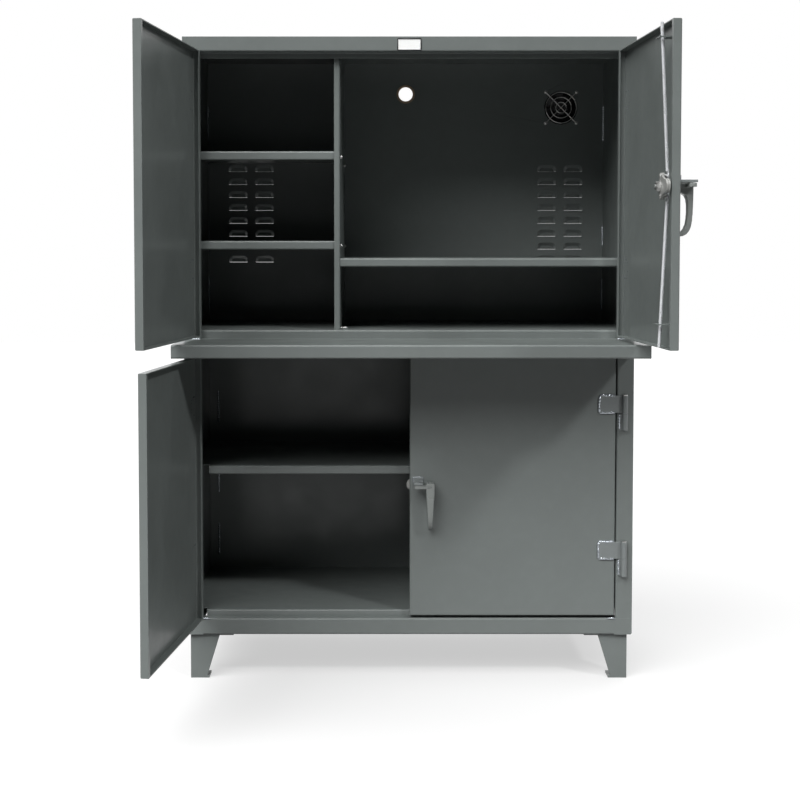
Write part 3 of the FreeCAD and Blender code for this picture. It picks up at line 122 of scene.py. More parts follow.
# Radii of the weld beads, the thickness of the legs' steel, and how long some beads are
WELD = 4.2
HASP_WELD = 1.5
LEG_WELD = 3.0
SEAM_WELD = 3.6
POST_WELD = 2.4
LEG_STEEL = 4.75
LEG_WELD_LENGTH = 70.0
POST_WELD_LENGTH = 22.0

# Stitches of weld up the insides of the backs, in metres above the floor
SEAM_STITCHES = {
    "upper": ((0.986, 1.090), (1.183, 1.246), (1.508, 1.616)),
    "lower": ((0.225, 0.325), (0.420, 0.520), (0.640, 0.740)),
}


# -------------------------------------------------------------------------------------------------
# Where things are
# -------------------------------------------------------------------------------------------------

class DoorFrame:
    """A door's own frame, as it stands at rest."""

    def __init__(self, row, side):
        self.row = row
        self.side = side
        self.body = f"door_{row}_{side}"
        self.sign = 1 if side == "right" else -1
        joint = next(item for item in frame["joints"] if item["name"] == f"{row}_{side}_door")
        opened = -joint["range_deg"][0]
        turn = Matrix.Rotation(math.radians(opened) * self.sign, 4, "Z")
        hinge = Vector((joint["pos_m"][0], joint["pos_m"][1], 0))
        self.matrix = Matrix.Translation(hinge) @ turn
        low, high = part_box(f"{row}_door_{side}")
        self.middle = (low.z + high.z) / 2

    def at(self, x, y, z):
        """Turn a place in the door's frame, with z from the door's middle, into the row's frame."""
        return self.matrix @ Vector((x * MM * self.sign, y * MM, self.middle + z * MM))

    def along(self, x, y, z):
        """Turn a direction in the door's frame into the row's frame."""
        return (self.matrix.to_3x3() @ Vector((x * self.sign, y, z))).normalized()


DOORS = {(row, side): DoorFrame(row, side)
         for row in ("upper", "lower") for side in ("left", "right")}
LATCH_DOORS = [DOORS[("upper", "right")], DOORS[("lower", "right")]]
DIVIDER_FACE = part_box("monitor_shelf")[0].x


def islands(name):
    """Lowest and highest corner of each separate solid of a CAD node, from left to right."""
    form = bmesh.new()
    form.from_mesh(nodes[name].data)
    bmesh.ops.remove_doubles(form, verts=form.verts, dist=1e-6)
    boxes = []
    left = set(form.verts)
    while left:
        stack = [left.pop()]
        found = []
        while stack:
            vertex = stack.pop()
            found.append(vertex.co.copy())
            for edge in vertex.link_edges:
                other = edge.other_vert(vertex)
                if other in left:
                    left.remove(other)
                    stack.append(other)
        low = Vector([min(co[axis] for co in found) for axis in range(3)])
        high = Vector([max(co[axis] for co in found) for axis in range(3)])
        boxes.append((low, high))
    form.free()
    return sorted(boxes, key=lambda box: [round(number, 4) for number in box[0]])


# -------------------------------------------------------------------------------------------------
# Shader helpers
# -------------------------------------------------------------------------------------------------

def math_node(tree, operation, first, second):
    """Join two values by one operation and return the result."""
    node = tree.nodes.new("ShaderNodeMath")
    node.operation = operation
    for socket, value in zip(node.inputs, (first, second)):
        if isinstance(value, (int, float)):
            socket.default_value = value
        else:
            tree.links.new(value, socket)
    return node.outputs[0]


def map_range(tree, value, source, target=(0.0, 1.0)):
    """Stretch a value from one range to another, clamped at its ends."""
    node = tree.nodes.new("ShaderNodeMapRange")
    for name, number in zip(("From Min", "From Max", "To Min", "To Max"), (*source, *target)):
        node.inputs[name].default_value = number
    tree.links.new(value, node.inputs["Value"])
    return node.outputs["Result"]


def blend(tree, factor, first, second):
    """Mix two colours, each a tuple or a socket, by a socket."""
    node = tree.nodes.new("ShaderNodeMix")
    node.data_type = "RGBA"
    tree.links.new(factor, node.inputs["Factor"])
    for name, colour in (("A", first), ("B", second)):
        socket = next(item for item in node.inputs if item.name == name and item.type == "RGBA")
        if isinstance(colour, tuple):
            socket.default_value = (*colour, 1)
        else:
            tree.links.new(colour, socket)
    return next(item for item in node.outputs if item.type == "RGBA")


def noise(tree, scale, detail=4.0, stretch=(1, 1, 1)):
    """Noise in the object's own metres, and return its value."""
    place = tree.nodes.new("ShaderNodeTexCoord")
    mapping = tree.nodes.new("ShaderNodeMapping")
    mapping.inputs["Scale"].default_value = stretch
    tree.links.new(place.outputs["Object"], mapping.inputs["Vector"])
    texture = tree.nodes.new("ShaderNodeTexNoise")
    texture.inputs["Scale"].default_value = scale
    texture.inputs["Detail"].default_value = detail
    tree.links.new(mapping.outputs["Vector"], texture.inputs["Vector"])
    return texture.outputs["Fac"]


NOISE_RANGE = (0.3, 0.7)


def spread(tree, value, low, high):
    """Stretch a noise value from its usual range over another."""
    return map_range(tree, value, NOISE_RANGE, (low, high))


def edge_mask(tree, radius):
    """1 along the edges of a piece, 0 on its faces."""
    rounded = tree.nodes.new("ShaderNodeBevel")
    rounded.samples = 6
    rounded.inputs["Radius"].default_value = radius
    shape = tree.nodes.new("ShaderNodeNewGeometry")
    product = tree.nodes.new("ShaderNodeVectorMath")
    product.operation = "DOT_PRODUCT"
    tree.links.new(rounded.outputs["Normal"], product.inputs[0])
    tree.links.new(shape.outputs["Normal"], product.inputs[1])
    return map_range(tree, product.outputs["Value"], (0.995, 0.90))


def bump(tree, shader, layers):
    """Add bump layers of height, strength and depth to a shader."""
    previous = None
    for height, strength, depth in layers:
        node = tree.nodes.new("ShaderNodeBump")
        node.inputs["Strength"].default_value = strength
        node.inputs["Distance"].default_value = depth
        tree.links.new(height, node.inputs["Height"])
        if previous is not None:
            tree.links.new(previous, node.inputs["Normal"])
        previous = node.outputs["Normal"]
    tree.links.new(previous, shader.inputs["Normal"])


def shade(colour, factor, lift=0.0):
    """Return a lighter or darker colour."""
    return tuple(value * factor + lift for value in colour)


# -------------------------------------------------------------------------------------------------
# Camera and studio
# -------------------------------------------------------------------------------------------------

CAMERA_SENSOR = 36.0
CAMERA_LENS = 66.03
CAMERA_SHIFT = (0.0257, -0.0948)
CAMERA_PLACE = (-0.0804, -4.2527, 1.1781)
CAMERA_PITCH = -2.95

# Each lamp's name, its bearing from the front towards +x and its height in degrees, its strength,
# and its angular size in degrees
LAMP_DISTANCE = 6
LAMPS = [
    ("main_light", -36, 50, 4.6, 54),
    ("right_light", 43, 38.5, 1.2, 7),
    ("back_light", 168, 56, 1.6, 60),
]

# The world's light on the object grows from front to back, and reflections turn white there. Each
# turn is the range of the direction's y over which it grows.
AMBIENT_FRONT = 0.02
AMBIENT_BACK = 0.42
AMBIENT_TURN = (-0.2, 0.8)
REFLECTION_TURN = (-0.35, 0.25)

FLOOR_REACH = 14.0
FLOOR_DROP = 0.0002
FLOOR_GLOW = 0.56
FLOOR_SEEN = 0.30
FLOOR_BOUNCE = 0.13


def set_camera():
    """Camera of the photograph, found from the cabinet's straight edges."""
    data = bpy.data.cameras.new("camera")
    data.sensor_width = CAMERA_SENSOR
    data.lens = CAMERA_LENS
    data.shift_x, data.shift_y = CAMERA_SHIFT
    data.clip_end = 100
    camera = bpy.data.objects.new("camera", data)
    camera.location = CAMERA_PLACE
    camera.rotation_euler = (math.radians(90 + CAMERA_PITCH), 0, 0)
    bpy.context.scene.collection.objects.link(camera)
    bpy.context.scene.camera = camera


def studio_sun(name, around, up, strength, softness):
    """Soft studio lamp without falloff."""
    data = bpy.data.lights.new(name, "SUN")
    data.energy = strength
    data.angle = math.radians(softness)
    lamp = bpy.data.objects.new(name, data)
    bearing = math.radians(around)
    height = math.radians(up)
    level = math.cos(height)
    towards = Vector((math.sin(bearing) * level, -math.cos(bearing) * level, math.sin(height)))
    lamp.location = towards * LAMP_DISTANCE
    lamp.rotation_euler = towards.to_track_quat("Z", "Y").to_euler()
    bpy.context.scene.collection.objects.link(lamp)


def set_world():
    """White surroundings for the camera and for reflections from behind, dimmer on the object."""
    world = bpy.data.worlds.new("studio")
    bpy.context.scene.world = world
    world.use_nodes = True
    tree = world.node_tree
    tree.nodes.clear()
    paths = tree.nodes.new("ShaderNodeLightPath")
    place = tree.nodes.new("ShaderNodeTexCoord")
    parts = tree.nodes.new("ShaderNodeSeparateXYZ")
    tree.links.new(place.outputs["Generated"], parts.inputs[0])

    behind = map_range(tree, parts.outputs["Y"], REFLECTION_TURN)
    glossy = math_node(tree, "MULTIPLY", paths.outputs["Is Glossy Ray"], behind)
    seen = math_node(tree, "MAXIMUM", paths.outputs["Is Camera Ray"],
                     paths.outputs["Is Transmission Ray"])
    seen = math_node(tree, "MAXIMUM", seen, glossy)

    strength = tree.nodes.new("ShaderNodeMix")
    strength.data_type = "FLOAT"
    ambient = map_range(tree, parts.outputs["Y"], AMBIENT_TURN, (AMBIENT_FRONT, AMBIENT_BACK))
    tree.links.new(seen, strength.inputs["Factor"])
    tree.links.new(ambient, strength.inputs["A"])
    strength.inputs["B"].default_value = 1.0
    background = tree.nodes.new("ShaderNodeBackground")
    background.inputs["Color"].default_value = (1, 1, 1, 1)
    tree.links.new(strength.outputs["Result"], background.inputs["Strength"])
    output = tree.nodes.new("ShaderNodeOutputWorld")
    tree.links.new(background.outputs[0], output.inputs["Surface"])


def set_floor():
    """Pale floor that is white to the camera and keeps the cabinet's shadow."""
    mesh = bpy.data.meshes.new("studio_floor")
    signs = ((-1, -1), (1, -1), (1, 1), (-1, 1))
    corners = [(x * FLOOR_REACH, y * FLOOR_REACH, 0) for x, y in signs]
    mesh.from_pydata(corners, [], [(0, 1, 2, 3)])
    floor = bpy.data.objects.new("studio_floor", mesh)
    bpy.context.scene.collection.objects.link(floor)
    floor.location.z = -FLOOR_DROP
    material = bpy.data.materials.new("studio_floor")
    material.use_nodes = True
    tree = material.node_tree
    tree.nodes.clear()
    paths = tree.nodes.new("ShaderNodeLightPath")
    seen = math_node(tree, "MAXIMUM", paths.outputs["Is Camera Ray"],
                     paths.outputs["Is Transmission Ray"])
    seen = math_node(tree, "MAXIMUM", seen, paths.outputs["Is Glossy Ray"])
    matt = tree.nodes.new("ShaderNodeBsdfDiffuse")
    tree.links.new(blend(tree, seen, (FLOOR_BOUNCE,) * 3, (FLOOR_SEEN,) * 3), matt.inputs["Color"])
    glow = tree.nodes.new("ShaderNodeEmission")
    tree.links.new(math_node(tree, "MULTIPLY", seen, FLOOR_GLOW), glow.inputs["Strength"])
    both = tree.nodes.new("ShaderNodeAddShader")
    tree.links.new(matt.outputs[0], both.inputs[0])
    tree.links.new(glow.outputs[0], both.inputs[1])
    output = tree.nodes.new("ShaderNodeOutputMaterial")
    tree.links.new(both.outputs[0], output.inputs["Surface"])
    mesh.materials.append(material)


# -------------------------------------------------------------------------------------------------
# Materials
# -------------------------------------------------------------------------------------------------

# Scales of the noises, per metre
DRIFT_SCALE = 2.6
POLISH_SCALE = 11.0
WAVE_SCALE = 14.0
FADE_SCALE = 30.0
DUST_SCALE = 34.0
TARNISH_SCALE = 42.0
CHIP_SCALE = 120.0
PEEL_SCALE = 260.0
CELL_SCALE = 620.0
# Radius of the lighter edges, which are partly worn thin paint and partly a painted highlight
WORN_AND_HIGHLIGHT_EDGE = 0.0011


def new_material(name, metallic, roughness):
    """Start a material and return it with its node tree and shader."""
    material = bpy.data.materials.new(name)
    material.use_nodes = True
    tree = material.node_tree
    shader = tree.nodes["Principled BSDF"]
    shader.inputs["Metallic"].default_value = metallic
    shader.inputs["Roughness"].default_value = roughness
    return material, tree, shader


def enamel(name, colour, sheen=1.0, gloss=0.3, bare=0.0):
    """Satin enamel: faint orange peel, slow tone drift, dusty patches, and lighter edges that are
    partly thin paint and partly a painted highlight.
    """
    material, tree, shader = new_material(name, bare, gloss)
    drift = spread(tree, noise(tree, DRIFT_SCALE, 5.0), 0.0, 1.0)
    base = blend(tree, drift, shade(colour, 0.94), shade(colour, 1.06))
    dust = spread(tree, noise(tree, DUST_SCALE, 6.0), -0.35, 0.55)
    dust = math_node(tree, "MULTIPLY", math_node(tree, "MAXIMUM", dust, 0.0), 0.07)
    base = blend(tree, dust, base, shade(colour, 2.0))
    # Edges lightened: partly thin, worn paint and partly a painted highlight along the bends
    edge = edge_mask(tree, WORN_AND_HIGHLIGHT_EDGE)
    broken = spread(tree, noise(tree, CHIP_SCALE, 5.0), 0.15, 0.75)
    base = blend(tree, math_node(tree, "MULTIPLY", edge, broken), base, shade(colour, 1.75, 0.01))
    tree.links.new(base, shader.inputs["Base Color"])
    rough = spread(tree, noise(tree, POLISH_SCALE, 6.0), gloss, gloss + 0.13)
    tree.links.new(rough, shader.inputs["Roughness"])
    shader.inputs["Specular IOR Level"].default_value = 0.36 * sheen
    shader.inputs["Coat Weight"].default_value = 0.16 * sheen ** 2
    shader.inputs["Coat Roughness"].default_value = gloss * 0.5
    peel = noise(tree, PEEL_SCALE, 2.0)
    waves = noise(tree, WAVE_SCALE, 2.0)
    bump(tree, shader, [(waves, 0.05, 0.004), (peel, 0.16, 0.0006)])
    return material


def metal(name, colour, rough, grain_scale, grain=(1, 1, 1), tarnish=0.25, bare=1.0):
    """Bare or plated metal: drawn or rolled grain, uneven polish and slight tarnish."""
    material, tree, shader = new_material(name, bare, rough[0])
    patches = spread(tree, noise(tree, TARNISH_SCALE, 5.0), 0.0, 1.0)
    base = blend(tree, patches, colour, shade(colour, 1 - tarnish))
    tree.links.new(base, shader.inputs["Base Color"])
    lines = noise(tree, grain_scale, 6.0, grain)
    tree.links.new(spread(tree, lines, *rough), shader.inputs["Roughness"])
    bump(tree, shader, [(lines, 0.12, 0.0003)])
    return material


def soft_plastic(name, colour, roughness, stipple_scale):
    """Moulded plastic or rubber with a fine stipple and slight fading."""
    material, tree, shader = new_material(name, 0.0, roughness)
    fade = spread(tree, noise(tree, FADE_SCALE, 5.0), 0.0, 1.0)
    base = blend(tree, fade, colour, shade(colour, 1.35, 0.004))
    tree.links.new(base, shader.inputs["Base Color"])
    rough = spread(tree, noise(tree, FADE_SCALE * 2, 4.0), roughness - 0.08, roughness + 0.08)
    tree.links.new(rough, shader.inputs["Roughness"])
    bump(tree, shader, [(noise(tree, stipple_scale, 2.0), 0.25, 0.0003)])
    return material


def foam(name):
    """Open-cell filter foam: a matt grey-black sheet, with painted shade darkening its pits."""
    material, tree, shader = new_material(name, 0.0, 0.95)
    place = tree.nodes.new("ShaderNodeTexCoord")
    cells = tree.nodes.new("ShaderNodeTexVoronoi")
    cells.inputs["Scale"].default_value = CELL_SCALE
    tree.links.new(place.outputs["Object"], cells.inputs["Vector"])
    distance = cells.outputs["Distance"]
    # Painted shade: darker towards each cell's middle, where the pits are
    base = blend(tree, distance, (0.004, 0.004, 0.004), (0.035, 0.035, 0.033))
    tree.links.new(base, shader.inputs["Base Color"])
    bump(tree, shader, [(distance, 0.8, 0.0012)])
    return material


GREY = (0.150, 0.167, 0.162)
MATERIALS = {
    "cabinet_enamel": enamel("cabinet_enamel", GREY),
    "door_enamel": enamel("door_enamel", GREY),
    "hinge_enamel": enamel("hinge_enamel", (0.175, 0.192, 0.192), sheen=1.2),
    "weld_enamel": enamel("weld_enamel", (0.34, 0.37, 0.40), sheen=2.4, gloss=0.12, bare=0.6),
    # The handles wear the cabinet's grey; this lighter copy of it is painted light for the extra
    # light they catch
    "handle_casting": enamel("handle_casting", (0.200, 0.216, 0.208), sheen=1.4, gloss=0.24),
    "bare_steel": metal("bare_steel", (0.56, 0.56, 0.55), (0.24, 0.42), 90.0),
    "rod_steel": metal("rod_steel", (0.93, 0.95, 0.98), (0.22, 0.36), 160.0,
                       grain=(1, 1, 0.12), tarnish=0.08, bare=0.5),
    "latch_steel": metal("latch_steel", (0.39, 0.395, 0.38), (0.40, 0.56), 120.0,
                         tarnish=0.3, bare=0.3),
    "fan_plastic": soft_plastic("fan_plastic", (0.012, 0.012, 0.013), 0.48, 900.0),
    "foam": foam("foam"),
    "rubber": soft_plastic("rubber", (0.42, 0.30, 0.20), 0.55, 700.0),
    "plate": metal("plate", (0.93, 0.94, 0.93), (0.26, 0.38), 260.0,
                   grain=(0.06, 1, 1), tarnish=0.03, bare=0.0),
}


# -------------------------------------------------------------------------------------------------
# Modelling helpers
# -------------------------------------------------------------------------------------------------

def use_finish(item, material):
    """Give an object one material."""
    item.data.materials.clear()
    item.data.materials.append(MATERIALS[material])


def new_piece(name, mesh, body, material, smooth=True):
    """Make a finished piece that rides on a body."""
    mesh.polygons.foreach_set("use_smooth", [smooth] * len(mesh.polygons))
    piece = bpy.data.objects.new(name, mesh)
    bpy.context.scene.collection.objects.link(piece)
    use_finish(piece, material)
    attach(piece, body)
    return piece


def mesh_from(form, name):
    """Turn a bmesh into mesh data with outward faces."""
    bmesh.ops.recalc_face_normals(form, faces=form.faces)
    mesh = bpy.data.meshes.new(name)
    form.to_mesh(mesh)
    form.free()
    return mesh


def joined(name, meshes):
    """Put several meshes into one."""
    form = bmesh.new()
    for mesh in meshes:
        form.from_mesh(mesh)
    return mesh_from(form, name)


def evaluated_mesh(item):
    """Mesh of an object as it is drawn, after which the object goes."""
    bpy.context.scene.collection.objects.link(item)
    bpy.context.view_layer.update()
    graph = bpy.context.evaluated_depsgraph_get()
    mesh = bpy.data.meshes.new_from_object(item.evaluated_get(graph))
    bpy.data.objects.remove(item)
    return mesh


def applied(mesh, settings):
    """Return the mesh after a row of modifiers, each a type with its settings."""
    carrier = bpy.data.objects.new(mesh.name, mesh)
    for kind, values in settings:
        modifier = carrier.modifiers.new(kind, kind)
        for key, value in values.items():
            setattr(modifier, key, value)
    return evaluated_mesh(carrier)


def in_metres(*profile):
    """Turn a profile's points from millimetres into metres."""
    return [(radius * MM, height * MM) for radius, height in profile]


def axis_matrix(start, direction):
    """Matrix that stands a lathed form at a point, with its axis along a direction."""
    turn = Vector((0, 0, 1)).rotation_difference(Vector(direction)).to_matrix().to_4x4()
    return Matrix.Translation(start) @ turn


def ring_of(form, matrix, radius, height, steps):
    """Add the vertices of a ring about the matrix's z axis."""
    ring = []
    for step in range(steps):
        angle = 2 * math.pi * step / steps
        place = Vector((radius * math.cos(angle), radius * math.sin(angle), height))
        ring.append(form.verts.new(matrix @ place))
    return ring


def skin(form, rings):
    """Close a row of rings into a solid."""
    for lower, upper in zip(rings, rings[1:]):
        for step in range(len(lower)):
            after = (step + 1) % len(lower)
            form.faces.new((lower[step], lower[after], upper[after], upper[step]))
    form.faces.new(rings[0][::-1])
    form.faces.new(rings[-1])


def add_lathe(form, profile, matrix, steps=40):
    """Add a turned form: the profile's points are radius and height along the matrix's z axis."""
    skin(form, [ring_of(form, matrix, radius, height, steps) for radius, height in profile])


def add_hex_nut(form, start, direction, radius, height, turn=0.0):
    """Add a six-sided nut or bolt head with a chamfered outer face."""
    matrix = axis_matrix(start, direction) @ Matrix.Rotation(turn, 4, "Z")
    skin(form, [ring_of(form, matrix, radius * size, height * level, 6)
                for size, level in ((1.0, 0.0), (1.0, 0.82), (0.86, 1.0))])


def dome(radius, height, steps=6):
    """Profile of a low dome that stands on its rim."""
    angles = [math.pi / 2 * step / steps for step in range(1, steps + 1)]
    return [(radius, 0)] + [(max(radius * math.cos(angle), radius * 0.04), height * math.sin(angle))
                            for angle in angles]


def arc(centre, radius, first, last, steps):
    """Points round an arc, from one angle to another in degrees."""
    angles = [math.radians(first + (last - first) * step / steps) for step in range(steps + 1)]
    return [(centre[0] + radius * math.cos(angle), centre[1] + radius * math.sin(angle))
            for angle in angles]


def flat_plate(outlines, thickness, edge):
    """Plate with rounded edges, from its outline and its holes' outlines, in millimetres."""
    curve = bpy.data.curves.new("plate", "CURVE")
    curve.dimensions = "2D"
    curve.fill_mode = "BOTH"
    curve.extrude = (thickness / 2 - edge) * MM
    curve.bevel_depth = edge * MM
    curve.bevel_resolution = 2
    curve.offset = -edge * MM
    for points in outlines:
        spline = curve.splines.new("POLY")
        spline.points.add(len(points) - 1)
        spline.use_cyclic_u = True
        for point, (across, up) in zip(spline.points, points):
            point.co = (across * MM, up * MM, 0, 1)
    return evaluated_mesh(bpy.data.objects.new("plate", curve))


# A weld bead is a row of rings. Its ripples are this many rings long, and the rest are shares of
# its radius, or of the drift that one ring hands on to the next.
BEAD_SIDES = 10
BEAD_RIPPLE = 4.6
BEAD_PITCH = 0.42
BEAD_RIPPLE_DEPTH = 0.2
BEAD_UNEVEN = 0.09
BEAD_FLATNESS = 0.85
BEAD_TIP = 0.28
BEAD_WANDER = 1.5
DRIFT_KEPT = 0.7


def add_bead(form, start, end, radius, out, dice):
    """Add a weld bead: a rippled, slightly uneven half-buried tube from start to end."""
    along = (end - start).normalized()
    side = along.cross(out).normalized()
    length = (end - start).length
    count = max(6, int(length / (radius * BEAD_PITCH)))
    rings = []
    drift = 0.0
    for number in range(count + 1):
        share = number / count
        ends = min(1.0, min(share, 1 - share) * length / radius + BEAD_TIP)
        wave = 1 + BEAD_RIPPLE_DEPTH * math.cos(2 * math.pi * number / BEAD_RIPPLE)
        drift = drift * DRIFT_KEPT + dice.uniform(-BEAD_UNEVEN, BEAD_UNEVEN)
        size = radius * ends * (wave + dice.uniform(-BEAD_UNEVEN, BEAD_UNEVEN))
        middle = start.lerp(end, share) + side * drift * radius * BEAD_WANDER
        ring = []
        for step in range(BEAD_SIDES):
            angle = 2 * math.pi * step / BEAD_SIDES
            ring.append(form.verts.new(middle + side * size * math.cos(angle)
                                       + out * size * BEAD_FLATNESS * math.sin(angle)))
        rings.append(ring)
    skin(form, rings)


def bead_piece(name, body, lines, radius):
    """Make one piece of weld beads; each line is a start, an end and the way it bulges."""
    dice = random.Random(name)
    form = bmesh.new()
    for start, end, out in lines:
        add_bead(form, start, end, radius * MM, out.normalized(), dice)
    return new_piece(name, mesh_from(form, name), body, "weld_enamel")


# -------------------------------------------------------------------------------------------------
# Handles and latches
# -------------------------------------------------------------------------------------------------

def handle_half_width(height):
    """Half the handle's width at a height from the spindle."""
    if height > -HANDLE_TOP:
        return HUB_HALF_WIDTH + HUB_BULGE * (1 - abs(height) / HANDLE_TOP)
    share = min(1.0, (-height - HANDLE_TOP) / (HANDLE_DROP - HANDLE_TOP))
    return GRIP_HALF_WIDTH - GRIP_TAPER * share ** GRIP_TAPER_POWER


def handle_grip(door):
    """Cast grip with its hub, before rounding."""
    form = bmesh.new()
    rings = []
    for outer, inner in HANDLE_STATIONS:
        corners = [(outer, -1), (outer, 1), (inner, 1), (inner, -1)]
        rings.append([form.verts.new(door.at(SPINDLE + side * handle_half_width(up),
                                             FACE - out, up)) for (out, up), side in corners])
    skin(form, rings)
    add_lathe(form, in_metres((10.5, 0), (12, 1.5), (12, 24), (10, 27)),
              axis_matrix(door.at(SPINDLE, FACE - HANDLE_CLEAR, 0), door.along(0, -1, 0)))
    return mesh_from(form, "grip")


def handle_lug(door):
    """Flat lug beside the hub with the padlock hole, its free end rounded about the hole."""
    middle = (HASP_NEAR + HASP_FAR) / 2
    half = LUG_OUT / 2
    corner = HASP_FAR - LUG_CORNER
    outline = [(LUG_START, -half)]
    outline += arc((corner, -half + LUG_CORNER), LUG_CORNER, -90, 0, 6)
    outline += arc((corner, half - LUG_CORNER), LUG_CORNER, 0, 90, 6)
    outline.append((LUG_START, half))
    hole = arc((middle, 0), PADLOCK_HOLE, 0, 360, 32)[:-1]
    mesh = flat_plate([outline, hole], LUG_HEIGHT, LUG_EDGE)
    level = HASP_RISE - HANDLE_CLEAR - LUG_HEIGHT / 2
    depth = FACE - HANDLE_OUT + half
    for vertex in mesh.vertices:
        across, deep, up = vertex.co / MM
        vertex.co = door.at(SPINDLE - across, depth + deep, level + up)
    return mesh


def spindle_mesh(door):
    """Spindle through the door, with its shoulder, its stub and the thread's turns."""
    profile = in_metres((6.2, 0), (7, 0.8), (7, SPINDLE_SHOULDER), (4.5, SPINDLE_SHOULDER + 0.5),
                        (4.5, THREAD_START))
    for turn in range(THREAD_TURNS):
        start = THREAD_START + turn * THREAD_PITCH
        profile += in_metres((4.4, start + THREAD_FLAT), (3.9, start + THREAD_PITCH / 2),
                             (4.4, start + THREAD_PITCH - THREAD_FLAT))
    profile += in_metres((3.4, SPINDLE_END))
    form = bmesh.new()
    add_lathe(form, profile, axis_matrix(door.at(SPINDLE, FACE, 0), door.along(0, 1, 0)))
    return mesh_from(form, "spindle")


def handle(door):
    """Handle of a latch, as one casting with its spindle."""
    grip = applied(handle_grip(door), [
        ("REMESH", {"mode": "VOXEL", "voxel_size": 1.1 * MM}),
        ("SMOOTH", {"factor": 0.5, "iterations": 9}),
    ])
    name = f"{door.row}_cast_handle"
    mesh = joined(name, [grip, handle_lug(door), spindle_mesh(door)])
    piece = new_piece(name, mesh, f"latch_{door.row}", "handle_casting")
    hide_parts(f"{door.row}_handle")


def latch_fasteners(door):
    """Nut and washer on the spindle, and the domed shouldered rivets of the rods."""
    inward = door.along(0, 1, 0)
    form = bmesh.new()

    def turned(profile, depth, level, direction, steps=24):
        """Add a turned form at a depth and a level on the spindle's plumb line."""
        start = door.at(SPINDLE, FACE + depth, level)
        add_lathe(form, in_metres(*profile), axis_matrix(start, direction), steps)

    washer = NUT_RADIUS + 1
    turned([(washer, 0), (washer, 1.2), (washer - 0.4, NUT_WASHER)], CAM_SEAT, 0, inward, 40)
    add_hex_nut(form, door.at(SPINDLE, FACE + CAM_SEAT + NUT_WASHER, 0), inward,
                NUT_RADIUS * MM, NUT_HEIGHT * MM, 0.3)
    for level in (CAM_THROW, -CAM_THROW):
        turned([(RIVET_RADIUS, 0), (RIVET_RADIUS, CAM_SEAT - EYE_FRONT)], EYE_FRONT, level, inward)
        turned([(4.8, 0), (RIVET_HEAD, 0.3), (RIVET_HEAD, 6.4), (4.8, 6.9)], EYE_BACK + 0.35,
               level, inward)
        turned(dome(RIVET_HEAD, 2.0), CAM_SEAT, level, inward)
        turned(dome(RIVET_HEAD, 1.6), EYE_FRONT - 0.3, level, -inward)
    name = f"{door.row}_latch_nut_and_rivets"
    piece = new_piece(name, mesh_from(form, name), f"latch_{door.row}",
                      "bare_steel", False)
    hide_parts(f"{door.row}_latch_pins")


def cam_face(door):
    """Raised face of the cast cam, with a web from each rod lobe to the bolt arm."""
    upper = [(-16.0, 0.0), (-14.8, 6.0), (-11.2, 11.6), (-CAM_LOBE, 16.0)]
    upper += arc((0, CAM_THROW), CAM_LOBE, 180, 65, 8)
    upper += [(14.0, 25.4), (30.0, 18.9), (39.0, 16.3)]
    upper += arc((CAM_ARM, 0), CAM_ARM_END, 90, 0, 8)
    outline = upper + [(across, -up) for across, up in upper[-2:0:-1]]
    mesh = flat_plate([outline], CAM_RAISE + CAM_SUNK, CAM_EDGE)
    depth = FACE + CAM_BACK + (CAM_RAISE - CAM_SUNK) / 2
    for vertex in mesh.vertices:
        across, up, deep = vertex.co / MM
        vertex.co = door.at(SPINDLE - across, depth + deep, up)
    name = f"{door.row}_cam_face"
    new_piece(name, joined(name, [mesh]), f"latch_{door.row}", "latch_steel", False)


# -------------------------------------------------------------------------------------------------
# Bolts, screws and the plate's border
# -------------------------------------------------------------------------------------------------

def shelf_fasteners():
    """Hexagon bolts with washers through the divider, and two domed screws in its foot tab."""
    along = Vector((1, 0, 0))
    head_height = 3.0 * MM
    nut_height = 3.1 * MM
    washer = 0.9 * MM
    shank = 2.9 * MM
    shank_tip = 2.3 * MM
    form = bmesh.new()
    for low, high in islands("shelf_bolts"):
        middle = (low + high) / 2
        size = high - low
        if size.x > size.z:
            radius = size.z / 2
            hex_radius = radius * 0.93
            under_head = Vector((low.x, middle.y, middle.z)) + along * head_height
            far_face = Vector((DIVIDER_FACE, middle.y, middle.z))
            length = size.x - head_height
            add_hex_nut(form, under_head, -along, hex_radius, head_height, 0.2)
            add_lathe(form, [(radius, 0), (radius, washer)], axis_matrix(under_head, along), 24)
            add_lathe(form, [(shank, 0), (shank, length - 0.6 * MM), (shank_tip, length)],
                      axis_matrix(under_head, along), 20)
            add_lathe(form, [(radius, 0), (radius, washer)], axis_matrix(far_face, along), 24)
            add_hex_nut(form, far_face + along * washer, along, hex_radius, nut_height, 0.5)
        else:
            foot = Vector((middle.x, middle.y, low.z))
            add_lathe(form, dome(size.x / 2, size.z), axis_matrix(foot, (0, 0, 1)))
    mesh = mesh_from(form, "shelf_fasteners")
    piece = new_piece("shelf_fasteners", mesh, "cabinet", "bare_steel", False)
    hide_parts("shelf_bolts")


def fan_fasteners():
    """Domed screws at the corners of the fan's guard."""
    head_height = 2.4 * MM
    shank = 2.1 * MM
    form = bmesh.new()
    for low, high in islands("fan_screws"):
        middle = (low + high) / 2
        seat = Vector((middle.x, low.y + head_height, middle.z))
        head = dome((high.z - low.z) / 2, head_height)
        add_lathe(form, head, axis_matrix(seat, (0, -1, 0)), 24)
        add_lathe(form, [(shank, 0), (shank, high.y - seat.y)], axis_matrix(seat, (0, 1, 0)), 16)
    mesh = mesh_from(form, "fan_fasteners")
    piece = new_piece("fan_fasteners", mesh, "cabinet", "bare_steel")
    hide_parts("fan_screws")


